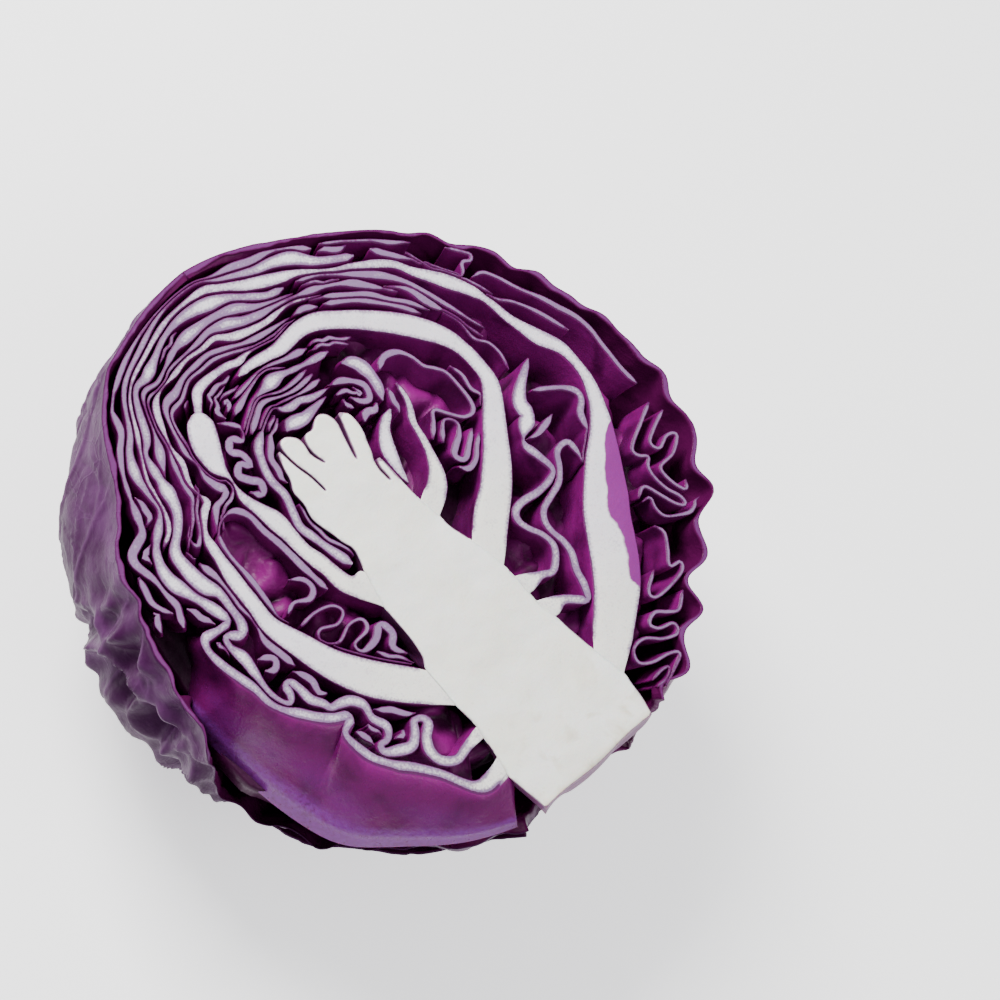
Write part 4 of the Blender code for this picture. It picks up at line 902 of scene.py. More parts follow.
@dataclass
class LeafBuilder:
    """Builds a leaf as a wall that goes down from its edge on the cut face."""

    levels: tuple[float, ...] = (1.0, 0.8, 0.62, 0.46, 0.33, 0.22, 0.13, 0.065, 0.02)
    softening: float = 0.3       # width of the worn edge of the cut
    edge_drop: float = 0.16
    sharpest: float = 0.85       # tightest bend that the inner edge follows
    root_blend: float = 7.0
    root_sink: float = 2.6       # how far a root goes into the core
    tint_length: float = 50.0
    blush_heights: tuple[float, float] = (-56.0, -9.0)
    uneven: float = 0.22         # how much a leaf's own height differs on the cut face
    lean_turn: float = 18.6      # degrees below the rim where the leaning leaf ends
    lean_inset: float = 0.2
    lean_thickness: float = 1.5
    lean_recess: float = 8.0     # how far its foot draws in behind the wrapper's crumples
    lean_heights: tuple[float, float] = (13.0, -4.0)

    def edges(self, line: Array, plan: LeafPlan, step: float) -> tuple[Array, Array, Array]:
        """The centre, the sideways direction and the half thickness along a leaf.

        Args:
            line: The leaf as x, y, thickness and firmness.
            plan: Its plan.
            step: Spacing of its points.

        Returns:
            Centres, directions to the left and half thicknesses.
        """
        centre = line[:, :2].copy()
        ahead = unit(np.gradient(centre, axis=0))
        side = np.column_stack([-ahead[:, 1], ahead[:, 0]])
        turn = np.abs(ahead[:-1, 0] * ahead[1:, 1] - ahead[:-1, 1] * ahead[1:, 0])
        bend = np.concatenate([turn[:1], np.maximum(turn[:-1], turn[1:]), turn[-1:]]) / step
        half = np.minimum(line[:, 2] / 2, self.sharpest / np.maximum(bend, 1e-3))
        taper = np.arange(len(half)) * step
        half = half * (0.35 + 0.65 * eased(taper[::-1], -0.1, 2.4))
        if not plan.root:
            return centre, side, half * (0.35 + 0.65 * eased(taper, -0.1, 2.4))
        share = (1 - eased(taper, 0, self.root_blend))[:, None]
        left = centre + side * half[:, None]
        right = centre - side * half[:, None]
        corners = np.array(plan.root)
        left += (corners[0] - left[0]) * share
        right += (corners[1] - right[0]) * share
        sink = -unit(centre[1] - centre[0]) * self.root_sink
        left = np.vstack([left[0] + sink, left])
        right = np.vstack([right[0] + sink, right])
        across = left - right
        return (left + right) / 2, unit(across), np.linalg.norm(across, axis=1) / 2

    def ring(self, half: Array) -> tuple[Array, Array, Array, Array]:
        """The section of a leaf: up its left wall, over the cut edge and down its right wall.

        Args:
            half: Half thickness at each sample.

        Returns:
            Sideways place, depth below the cut, share of the full depth, and distance to the
            skin along the cut, each as samples by points of the ring.
        """
        worn = np.minimum(self.softening, half * 0.5)[:, None]
        wide = half[:, None]
        zero = np.zeros_like(wide)
        walls = np.repeat(wide, len(self.levels), axis=1)
        shares = np.array(self.levels)
        top_side = np.hstack([wide, wide - 0.45 * worn, wide - worn, 0.3 * wide])
        top_drop = np.hstack([zero + self.edge_drop, zero + 0.04, zero, zero])
        top_rind = np.hstack([zero, 0.45 * worn, worn, 0.7 * wide])
        side = np.hstack([walls, top_side, -top_side[:, ::-1], -walls])
        drop = np.hstack([walls * 0, top_drop, top_drop[:, ::-1], walls * 0])
        rind = np.hstack([walls * 0, top_rind, top_rind[:, ::-1], walls * 0])
        share = np.concatenate([shares, np.zeros(2 * top_side.shape[1]), shares[::-1]])
        return side, drop, np.broadcast_to(share, side.shape), rind

    def build(self, plan: LeafPlan, line: Array, step: float, number: int,
              material: bpy.types.Material) -> bpy.types.Object:
        """Makes one leaf.

        The point at share s of the depth D lies at centre + shrink(s * D) * (place - centre); a
        leaf that leans goes outward instead, and its folds fade with depth.

        Args:
            plan: The leaf's plan.
            line: Its fitted line.
            step: Spacing of the line's points.
            number: Its place in the row of leaves, which sets its own height.
            material: Its finish.

        Returns:
            The leaf.
        """
        centre, side, half = self.edges(line, plan, step)
        across, drop, share, rind = self.ring(half)
        flat = centre[:, None, :] + side[:, None, :] * across[..., None]
        middle = np.array(HEAD.taper_centre)
        depth = np.full(share.shape, float(plan.depth))
        scale = HEAD.shrink(share * depth)
        if plan.leans:
            leaning = 1 - eased(flat[..., 1], self.lean_heights[1], self.lean_heights[0])
            soft = self.soften(flat, step)
            flat = flat + (soft - flat) * (eased(share, 0, 0.8) * leaning * 0.85)[..., None]
        below = share * depth + drop
        xy = middle + (flat - middle) * scale[..., None]
        own = self.uneven * math.sin(number * 2.4) * (1 - eased(share, 0, 0.3))
        if plan.root:
            own = own * eased(np.arange(len(centre)) * step, 1, 12)[:, None]
        points = np.concatenate([xy, -below[..., None]], axis=-1)
        if plan.leans:
            wall = self.leaning_wall(flat, soft, share, drop, across)
            points += (wall - points) * leaning[..., None]
            below = np.where(leaning > 0.5, -points[..., 2], below)
        points = HEAD.settle(points)
        points[..., 2] += own - 0.05
        along = np.arange(len(centre)) * step
        tint = eased(along, 0, self.tint_length) if plan.root else np.ones(len(centre))
        if plan.root:
            rind = rind + 1.2 * (1 - eased(along, 2.0, 5.5))[:, None]
        layers = {
            "rind": rind, "below": below,
            "tint": np.broadcast_to(tint[:, None], rind.shape),
            "white": np.full(rind.shape, plan.flesh.value),
            "foot": share * leaning if plan.leans else np.zeros(rind.shape),
            "blush": np.zeros(rind.shape),
        }
        if plan.name == "leaf_right_outer_rib":
            low, high = self.blush_heights
            span = eased(flat[..., 1], low, low + 8) * (1 - eased(flat[..., 1], high - 7, high))
            broad = 0.14 + 0.48 * eased(flat[..., 1], -38, -30)
            layers["blush"] = span * (broad - across / half[:, None])
        nodes = (plan.name,) if plan.origin is Origin.SOLID else ()
        suffix = "_fine" if nodes else ""
        faces = face_outward(points, ring_faces(*rind.shape))
        return make_piece(plan.name + suffix, points, faces, material, layers, nodes)

    def leaning_wall(self, flat: Array, soft: Array, share: Array, drop: Array,
                     across: Array) -> Array:
        """The wall of the leaf that leans out over the wrapper's rim, down to its free edge.

        Args:
            flat: Places on the cut face.
            soft: The same places with the folds smoothed out.
            share: Share of the way down to the free edge.
            drop: Depth of the worn edge of the cut.
            across: Sideways place, above zero on the outer wall.

        Returns:
            Places on a convex sweep from the cut face to a line just inside the skin.
        """
        alpha = np.degrees(np.arctan2(-soft[..., 0], -soft[..., 1]))
        turn = self.lean_turn + 1.1 * np.sin(np.radians(alpha * 6)) - 0.12 * np.abs(alpha - 45)
        inset = self.lean_inset + self.lean_recess * eased(alpha, 46, 78)
        foot = SKIN.point(alpha, turn, inset + self.lean_thickness * (across < 0))
        start = np.concatenate([flat, -drop[..., None]], axis=-1)
        out = (1.35 * share - 0.35 * share ** 2)[..., None]
        down = (share ** 1.15)[..., None]
        return np.concatenate([start[..., :2] + (foot[..., :2] - start[..., :2]) * out,
                               start[..., 2:] + (foot[..., 2:] - start[..., 2:]) * down], axis=-1)

    def soften(self, flat: Array, step: float) -> Array:
        """Smooths a leaf's zigzag, as a blade is smooth below a folded edge."""
        width = int(34 / step) | 1
        window = np.hanning(width + 2)[1:-1]
        window /= window.sum()
        padded = np.pad(flat, ((width // 2, width // 2), (0, 0), (0, 0)), mode="edge")
        rows = np.lib.stride_tricks.sliding_window_view(padded, width, axis=0)
        return rows @ window


@dataclass
class Core:
    """The stem and core, whose lobes end in slits at the tip."""

    outline: Points = (
        (-17.8, -79), (-18.4, -75.5), (-19.6, -70), (-20.2, -66), (-19.3, -60.6), (-19, -57),
        (-18.9, -54.6), (-18.4, -51.2), (-18.9, -46), (-19.1, -43.4), (-19, -37), (-19, -31.4),
        (-17.5, -28), (-16.8, -22), (-16.9, -16), (-16.9, -11.8), (-15.8, -6), (-14.9, -1.6),
        (-13.4, 3), (-13.2, 5.5), (-14.2, 8), (-15, 11.5), (-15.8, 14), (-16.6, 18), (-15.8, 22),
        (-16, 26), (-14.5, 29), (-13.9, 32), (-12.9, 35), (-12.1, 36.6), (-11.5, 36),
        (-10.7, 31), (-9.3, 26), (-8.6, 21.6), (-8.2, 21.8), (-8.8, 26.4), (-10.2, 31.4),
        (-10.6, 36.4), (-9.6, 38.6), (-7.5, 38.6), (-5.2, 36.6), (-4.7, 34.2), (-5, 31),
        (-3.6, 27.4), (-3.2, 27.5), (-4.1, 31), (-3.8, 34.4), (-2.6, 36), (0, 36), (2, 37.4),
        (4, 38), (6, 36.6), (6.9, 33.4), (5.6, 28.6), (4.3, 23.4), (4.8, 23.2), (6.6, 28.2),
        (8.2, 32.6), (8.9, 35), (10, 34.5), (11.3, 33), (11.5, 30), (11, 27),
        (10, 24.5), (9, 21.5), (8, 19.6), (7.5, 16.6), (7.9, 13.2), (8.4, 13.2), (8.2, 16.6),
        (8.8, 18.8), (9.8, 19), (10.3, 14), (10.8, 8), (11.3, 3.6), (12.2, 0), (12.8, -2.8),
        (13.2, -7), (15.3, -13.2), (16.6, -18), (17.8, -23.6), (18.1, -26.6), (18.4, -29.4),
        (18.4, -31.8), (18.6, -34.6), (18.7, -37.4), (19.2, -39.8), (20.4, -44), (21, -48),
        (22.6, -56), (23.8, -61), (25.1, -66), (24.9, -70), (24.6, -74), (23.6, -79),
    )
    levels: Points = (
        (0.0, 1.0, 0.0), (0.25, 0.995, 0.1), (1.5, 0.985, 0.5), (4, 0.96, 1.2), (6, 0.93, 1.6),
        (9, 0.84, 1.9), (12, 0.72, 2.0), (15, 0.53, 1.7), (17, 0.36, 1.2), (18.4, 0.16, 0.6),
    )
    roots: Points = (*ROOT_MAIN, *ROOT_SECOND, *ROOT_OUTER_FOLD, *ROOT_INNER_FOLD,
                     *ROOT_INNER_RIB, *ROOT_OUTER_RIB, *ROOT_LENS, *ROOT_INNER_RIGHT,
                     *ROOT_OUTER_RIGHT)
    stem_keeps_below: float = -60.0
    stem_blends_above: float = -42.0
    spacing: float = 1.1
    above: float = 0.06

    def smooth_outline(self) -> Array:
        """The outline as closely spaced points, with its stem end kept straight."""
        points = np.array(self.outline, float)
        line = LeafLayout().smooth_line(np.column_stack([points, np.ones(len(points))]), 0.6)
        base = np.linspace(line[-1, :2], line[0, :2], 48)[1:-1]
        base[:, 1] += 0.35 * np.sin(np.linspace(0, 9, len(base)))
        return np.vstack([line[:, :2], base])

    def root_distance(self, places: Array) -> Array:
        """Distance to the nearest line between the two corners of a root."""
        corners = np.array(self.roots).reshape(-1, 2, 2)
        nearest = np.full(len(places), 99.0)
        for a, b in corners:
            along = np.clip(((places - a) @ (b - a)) / ((b - a) @ (b - a)), 0.04, 0.96)
            nearest = np.minimum(nearest, np.linalg.norm(places - a - along[:, None] * (b - a), axis=1))
        return nearest

    def build(self, material: bpy.types.Material) -> bpy.types.Object:
        """Makes the core: a fine cut face, and rings that close below it.

        Each ring below the face is outline * width(depth), kept straight at the stem.
        """
        outline = self.smooth_outline()
        count = len(outline)
        grid = np.arange(-78, 40, self.spacing)
        mesh_x, mesh_y = np.meshgrid(np.arange(-24, 26, self.spacing), grid)
        inner = np.column_stack([mesh_x.ravel(), mesh_y.ravel()])
        reach = np.linalg.norm(inner[:, None] - outline[None], axis=-1).min(axis=1)
        inner = inner[reach > 0.5]
        edges = [(k, (k + 1) % count) for k in range(count)]
        flat, _, triangles, *_ = geometry.delaunay_2d_cdt(
            [Vector(p) for p in np.vstack([outline, inner])], edges, [], 1, 1e-6)
        face = np.array([(p.x, p.y) for p in flat])
        rim_reach = np.linalg.norm(face[:, None] - outline[None], axis=-1).min(axis=1)
        rind = np.where(self.root_distance(face) < 1.6, 1.2, rim_reach)
        top = np.column_stack([face, np.full(len(face), self.above)])
        rings = [self.ring_at(outline, *level) for level in self.levels[1:]]
        lowest = rings[-1].mean(axis=0) - np.array([0, 0, 0.5])
        points = np.vstack([top, *rings, lowest])
        start = len(face)
        after = (np.arange(count) + 1) % count
        quads = [np.stack([np.arange(count), after, start + after, start + np.arange(count)], axis=-1)]
        for level in range(len(rings) - 1):
            a = start + level * count
            quads.append(np.stack([a + np.arange(count), a + after, a + count + after,
                                   a + count + np.arange(count)], axis=-1))
        last = start + (len(rings) - 1) * count
        tip = np.full(count, len(points) - 1)
        quads.append(np.stack([last + np.arange(count), last + after, tip, tip], axis=-1))
        caps = np.array([(*triangle, triangle[-1]) for triangle in triangles])
        settled = HEAD.settle(points)
        faces = face_outward(settled, np.concatenate(quads)) + caps.tolist()
        layers = {"rind": np.concatenate([rind, np.zeros(len(points) - len(face))]),
                  "below": np.maximum(-points[:, 2], 0)}
        return make_piece("core_fine", settled, [list(dict.fromkeys(row)) for row in faces],
                          material, layers, ("core",))

    def ring_at(self, outline: Array, depth: float, width: float, stand_out: float) -> Array:
        """The outline at a depth, narrower than on the cut face."""
        stem = np.clip((self.stem_blends_above - outline[:, 1])
                       / (self.stem_blends_above - self.stem_keeps_below), 0, 1)
        shrink = float(HEAD.shrink(np.array(depth)))
        middle = HEAD.taper_centre[1]
        tapered = middle + (outline[:, 1] - middle) * shrink * (0.5 + 0.5 * width)
        at_end = eased(outline[:, 1], -78.2, -79)
        y = tapered * (1 - stem) + outline[:, 1] * stem - stand_out * at_end
        return np.column_stack([outline[:, 0] * shrink * width, y, np.full(len(y), -depth)])


@dataclass
class Wrapper:
    """A leaf that wraps the outside of the head.

    Its outside is the skin moved out by soft folds, puckers and veins; its rim is cut flat where
    it meets the cut face.
    """

    node: str
    alphas: tuple[float, float]
    betas: tuple[float, float]
    rows: int
    columns: int
    midrib: float
    outset: float = 0.0
    rim_drop: float = 0.0
    cut_sides: tuple[bool, bool] = (False, False)
    seed: int = 1
    thickness: float = 2.2
    fold_height: float = 0.9
    pucker_height: float = 0.55
    vein_height: float = 0.7
    drop_from: float = 83.0
    drop_over: float = 12.0
    crumple_height: float = 0.0
    rim_wave: float = 0.35
    tuck: float = 0.0            # degrees by which the leaf draws back above its lower part
    crumple_span: tuple[float, float] = (70.0, 122.0)
    mm_per_degree: float = 1.42
    vein_spacing: float = 8.5
    fork_shares: tuple[float, float, float] = (0.3, 0.52, 0.72)
    tuck_span: tuple[float, float] = (52, 80)
    pole_span: tuple[float, float] = (163, 177)      # where the relief fades towards the base
    smooth_edge: float = 9       # degrees beside a cut side that stay close to the plain skin
    lift_height: float = 1.1     # how far the free sides lift off
    lift_width: float = 12
    thin_edge: float = 7         # degrees over which the leaf thins towards its sides
    flutter_span: tuple[float, float] = (3, 18)
    least_thickness: float = 0.3
    rim_parts: tuple[float, ...] = (0.14, 0.36, 0.64, 0.86)
    rim_rinds: tuple[float, ...] = (0.14, 0.36, 0.36, 0.14)
    base_thickness: float = 0.9

    def vein_lines(self) -> list[tuple[Array, float]]:
        """The midrib and the side veins that leave it in turn, as angles and a half width."""
        draw = np.random.default_rng(self.seed)
        t = np.linspace(0, 1, 40)
        first, last = self.alphas
        bow = 5 * np.sin(t * 3 + self.seed)
        lines = [(np.column_stack([first + (last - first) * t, self.midrib + bow]), 2.4)]
        for k, start in enumerate(np.arange(first + 2, last - 25, self.vein_spacing)):
            way = 1 if k % 2 else -1
            reach = (self.betas[1] - self.midrib) if way > 0 else (self.midrib - self.betas[0])
            rise = draw.uniform(34, 50)
            sway = 3 * np.sin(t * 6 + draw.uniform(0, 6)) * t
            alpha = start + rise * t ** 1.25 + sway
            beta = self.midrib + 4 * way + way * reach * 1.02 * t ** 0.9 + sway * 0.6
            lines.append((np.column_stack([alpha, beta]), 1.0))
            for share in self.fork_shares:
                i = int(share * 39)
                fork = np.linspace(0, 1, 16)
                angle = draw.uniform(-9, 16)
                branch_alpha = alpha[i] + fork * (24 + angle) * (1 - 0.3 * fork)
                branch_beta = beta[i] + way * fork * (8 - angle * 0.5)
                lines.append((np.column_stack([branch_alpha, branch_beta]), 0.55))
        return lines

    def vein_field(self, alpha: Array, beta: Array) -> Array:
        """How much a place belongs to a vein: 1 on its middle line, 0 beyond its edge."""
        narrow = np.maximum(np.sin(np.radians(alpha)), 0.25)
        strength = np.zeros(alpha.shape)
        for line, width in self.vein_lines():
            reach = np.full(alpha.shape, 99.0)
            for (a0, b0), (a1, b1) in zip(line, line[1:]):
                da, db = (a1 - a0) * self.mm_per_degree, (b1 - b0) * self.mm_per_degree
                pa, pb = (alpha - a0) * self.mm_per_degree, (beta - b0) * self.mm_per_degree
                along = np.clip((pa * da + pb * db) / max(da * da + db * db, 1e-9), 0, 1)
                reach = np.minimum(reach, np.hypot(pa - along * da, (pb - along * db) * narrow))
            taper = 1 - 0.5 * eased(alpha, line[0, 0], line[-1, 0])
            strength = np.maximum(strength, np.exp(-(reach / (width * taper)) ** 2)
                                  * min(1.0, 0.45 + 0.35 * width))
        return strength

    def relief(self, alpha: Array, beta: Array, vein: Array, flat: Array) -> Array:
        """Height over the plain skin: folds, puckers between veins, and the veins themselves."""
        folds = Ripple(46, 12, self.seed + 20, axes=3).at(flat)
        stretched = np.stack([alpha * 1.4, beta * 1.4 * np.sin(np.radians(alpha))], axis=-1)
        puckers = Blisters(7.5, self.seed).at(stretched) * Ripple(40, 20, self.seed + 31).at(stretched)
        creases = np.abs(Ripple(30, 9, self.seed + 40).at(stretched))
        height = self.fold_height * folds + self.pucker_height * puckers + self.vein_height * vein
        start, stop = self.crumple_span
        crumpled = eased(alpha, start - 8, start) * (1 - eased(alpha, stop - 14, stop))
        crumpled = crumpled * (1 - eased(beta, 34, 55))
        wave = Ripple(30, 15, self.seed + 60, 7).at(stretched)
        small = Ripple(11, 6, self.seed + 61, 7).at(stretched)
        ridges = 1 - 1.7 * np.sqrt(wave ** 2 + 0.012)
        height = height + self.crumple_height * crumpled * (ridges - 0.2 + 0.22 * small)
        return height - 0.35 * np.exp(-(creases / 0.09) ** 2)

    def build(self, material: bpy.types.Material) -> bpy.types.Object:
        """Makes the leaf as one closed surface that runs round its section for each angle."""
        alpha = np.linspace(*self.alphas, self.rows)[:, None]
        share = np.linspace(0, 1, self.columns)[None, :]
        dropped = self.rim_drop * (1 - eased(alpha, self.drop_from - self.drop_over, self.drop_from))
        first = self.betas[0] + dropped + self.tuck * eased(alpha, *self.tuck_span)
        beta = first + (self.betas[1] - first) * share
        alpha = np.broadcast_to(alpha, beta.shape)
        flat = SKIN.point(alpha, beta, 0)
        vein = self.vein_field(alpha, beta)
        at_pole = 1 - eased(alpha, *self.pole_span)
        height = self.relief(alpha, beta, vein, flat) * at_pole
        spans = [np.abs(beta - beta[:, side, None]) for side in (0, -1)]
        edge = np.ones(beta.shape)
        for span, cut in zip(spans, self.cut_sides):
            edge = np.minimum(edge, eased(span, 0, self.smooth_edge) if cut else 1.0)
        if not all(self.cut_sides):
            inward = np.minimum(share, 1 - share) * (self.betas[1] - self.betas[0])
            lift = Ripple(60, 14, self.seed + 50).at(np.stack([alpha, beta], axis=-1))
            height = height + (self.lift_height * lift * (1 - eased(inward, 0, self.lift_width))
                               * edge * at_pole)
        outer_in = -self.outset - height * (0.2 + 0.8 * edge)
        ends = [1 - eased(span, 0, self.thin_edge) for span in spans]
        free = sum(end * (not cut) for end, cut in zip(ends, self.cut_sides))
        rim = sum(end * cut for end, cut in zip(ends, self.cut_sides))
        dropped_rim = rim * eased(dropped, 1, 6)
        ragged = Ripple(26, 3, self.seed + 70, 16).at(flat)
        thick = self.thickness * (1 - 0.8 * np.maximum(free, dropped_rim) - rim * (0.5 + 0.2 * ragged))
        near_rim = sum((1 - eased(span, *self.flutter_span)) * cut
                       for span, cut in zip(spans, self.cut_sides))
        flutter = Ripple(17, 8, self.seed + 80, 8).at(np.stack([alpha * 1.4, alpha * 0], axis=-1))
        fluttered = near_rim * (1 - eased(alpha, 110, 150)) * flutter
        outer_in = outer_in + self.rim_wave * (0.3 + fluttered) * near_rim * at_pole
        outer = SKIN.point(alpha, beta, outer_in)
        inner = SKIN.point(alpha, beta, outer_in + np.maximum(thick, self.least_thickness))
        outer[..., 2] = np.maximum(outer[..., 2], -FACE_HEIGHT)
        inner[..., 2] = np.maximum(inner[..., 2], -FACE_HEIGHT + self.base_thickness)
        rims = {}
        for side in (0, -1):
            a, b = outer[:, side], inner[:, side]
            rims[side] = np.stack([a + (b - a) * part for part in self.rim_parts], axis=1)
        ring = np.concatenate([outer[:, ::-1], rims[0], inner, rims[-1][:, ::-1]], axis=1)
        near, far = (np.array(self.rim_rinds) * thick[:, side, None] * cut
                     for side, cut in zip((0, -1), self.cut_sides))
        blank = np.zeros(near.shape)
        none = np.zeros((self.rows, self.columns))
        rind = np.concatenate([none, near, none, far], axis=1)
        inside = np.concatenate([none, blank, none + 1, blank], axis=1)
        veins = np.concatenate([vein[:, ::-1], blank, vein, blank], axis=1)
        shade = np.concatenate([beta[:, ::-1], blank + beta[:, :1], beta, blank + beta[:, -1:]],
                               axis=1)
        ring[..., 2] -= 0.1 * (ring[..., 2] > -0.5)
        half = self.columns + len(self.rim_parts)
        order = np.roll(np.arange(2 * half), -(self.columns + len(self.rim_parts) // 2))
        layers = {"rind": rind[:, order], "inside": inside[:, order], "vein": veins[:, order],
                  "turn": shade[:, order] / 180}
        faces = face_outward(ring[:, order], ring_faces(self.rows, 2 * half))
        return make_piece(self.node + "_fine", ring[:, order], faces, material, layers,
                          (self.node,))


@dataclass
class Bed:
    """Blistered leaf surfaces that lie across the pockets, below the cut face.

    The height is -floor, raised in each pocket towards its own level, plus puckers.
    """

    rings: int = 120
    spokes: int = 300
    floor: float = 17.0
    underside: float = 26.0
    pockets: tuple[tuple[float, ...], ...] = (
        # x, y, half width, half length, level, pucker height
        (-35, 17, 8, 17, 10.5, 5.5), (-28, -10, 9, 11, 9, 4), (35, 24, 11, 17, 9, 5),
        (20, 12, 9, 9, 11, 3), (18, 20, 7, 9, 10, 3), (28, -25, 6, 9, 11, 4),
        (44, -24, 10, 10, 11, 4.5), (54, -5, 8, 8, 9, 4.5), (46, 5, 8, 9, 10, 4),
        (-25, -47, 9, 8, 7, 3), (-24, -60, 9, 8, 7, 2.5), (27, -34, 8, 6, 8, 3),
        (27, -46, 7, 7, 8, 2.5), (-52, 8, 6, 12, 10, 3.5),
        (75, -28, 9, 14, 7, 3.5), (55, -52, 12, 12, 8, 3), (68, 40, 10, 12, 8, 4),
        (30, 44, 12, 10, 11, 4), (-20, 46, 10, 12, 11, 4), (40, -67, 12, 8, 7, 3),
        (80, 0, 7, 14, 8, 3.5),
    )
    pitch: float = 11.0
    inset: float = 5.0
    middle: tuple[float, float] = (0.0, 4.0)
    search: tuple[float, float, int] = (50, 92, 85)  # nearest and furthest edge tried, and steps
    stem_reach: float = 72       # where the edge stops towards the stem
    stem_side: float = -0.93

    def build(self, material: bpy.types.Material) -> bpy.types.Object:
        """Makes the bed as a closed disc with a blistered top."""
        spoke = np.linspace(0, 2 * math.pi, self.spokes, endpoint=False)
        reach = np.linspace(0.004, 1, self.rings)[:, None]
        middle = np.array(self.middle)
        way = np.stack([np.cos(spoke), np.sin(spoke)], axis=-1)
        steps = np.linspace(*self.search)
        tries = middle + way[:, None] * steps[None, :, None]
        alpha = np.degrees(np.arctan2(np.abs(tries[..., 0]), -tries[..., 1]))
        beta = np.where(tries[..., 0] > 0, 180.0, 0.0)
        inside = np.linalg.norm(tries, axis=-1) < SKIN.radius(alpha, beta) - self.inset
        limit = np.where(inside, steps, 0).max(axis=1)
        limit = np.where(way[:, 1] < self.stem_side, np.minimum(limit, self.stem_reach), limit)
        places = middle + way[None] * (reach * limit)[..., None]
        height = np.full(places.shape[:2], -self.floor)
        bumps = Blisters(self.pitch, 2).at(places + 3 * np.stack(
            [Ripple(26, 10, 61).at(places), Ripple(26, 10, 62).at(places)], axis=-1))
        bumps = 0.45 * bumps + 0.4 + 0.35 * Ripple(26, 8, 63).at(places)
        for x, y, half_width, half_length, level, pucker in self.pockets:
            far = np.hypot((places[..., 0] - x) / half_width, (places[..., 1] - y) / half_length)
            weight = 1 - eased(far, 0.75, 1.5)
            own = -level + pucker * (bumps - 0.4)
            height = np.maximum(height, -self.floor + (own + self.floor) * weight)
        fade = eased(reach, 0.9, 1.0)
        height = height * (1 - fade) + (-self.floor - 2) * fade
        shrink = HEAD.shrink(-height)[..., None]
        centre = np.array(HEAD.taper_centre)
        xy = centre + (places - centre) * shrink
        top = np.concatenate([xy, height[..., None]], axis=-1)
        low = np.concatenate([xy, np.full((*height.shape, 1), -self.underside)], axis=-1)[::-8]
        points = np.concatenate([top, low])
        rows = len(points)
        k = np.arange(self.spokes)
        base = np.arange(rows - 1)[:, None] * self.spokes
        beside = (k + 1) % self.spokes
        a, b = base + k, base + beside
        faces = np.stack([a, b, b + self.spokes, a + self.spokes], axis=-1).reshape(-1, 4)
        last = (rows - 1) * self.spokes
        flat = points.reshape(-1, 3)
        poles = np.array([top[0].mean(axis=0), points[-1].mean(axis=0)])
        pole = np.full(self.spokes, len(flat))
        caps = np.concatenate([np.stack([pole, beside, k], axis=-1),
                               np.stack([pole + 1, last + k, last + beside], axis=-1)])
        everything = np.concatenate([flat, poles])
        # Pucker height on the raised parts, which the finish uses for painted light on the tops.
        high = np.concatenate([(bumps * (height > -self.floor + 2)).ravel(),
                               np.zeros(len(everything) - bumps.size)])
        below = -everything[:, 2]
        return make_piece("pocket_leaves", everything, faces.tolist() + caps.tolist(), material,
                          {"high": high, "below": below})


class Socket:
    """An output of a shader node; arithmetic on it adds Math nodes."""

    def __init__(self, paint: "Paint", output: bpy.types.NodeSocket) -> None:
        """Wraps an output of one node tree."""
        self.paint = paint
        self.output = output

    def maths(self, operation: str, *values: "Socket | float") -> "Socket":
        """Adds a Math node on the given values."""
        return self.paint.node("ShaderNodeMath", {"operation": operation}, dict(enumerate(values)))

    def __add__(self, other: "Socket | float") -> "Socket":
        """self + other."""
        return self.maths("ADD", self, other)

    def __sub__(self, other: "Socket | float") -> "Socket":
        """self - other."""
        return self.maths("SUBTRACT", self, other)

    def __rsub__(self, other: float) -> "Socket":
        """other - self."""
        return self.maths("SUBTRACT", other, self)

    def __mul__(self, other: "Socket | float") -> "Socket":
        """self * other."""
        return self.maths("MULTIPLY", self, other)

    def __truediv__(self, other: "Socket | float") -> "Socket":
        """self / other."""
        return self.maths("DIVIDE", self, other)

    __radd__ = __add__
    __rmul__ = __mul__

    def band(self, low: float, high: float) -> "Socket":
        """Rises smoothly from 0 at low to 1 at high, or falls where high is the smaller."""
        if low > high:
            return 1 - self.band(high, low)
        return self.paint.node("ShaderNodeMapRange", {"interpolation_type": "SMOOTHSTEP"},
                               {"Value": self, "From Min": low, "From Max": high})


Colour = tuple[float, float, float]


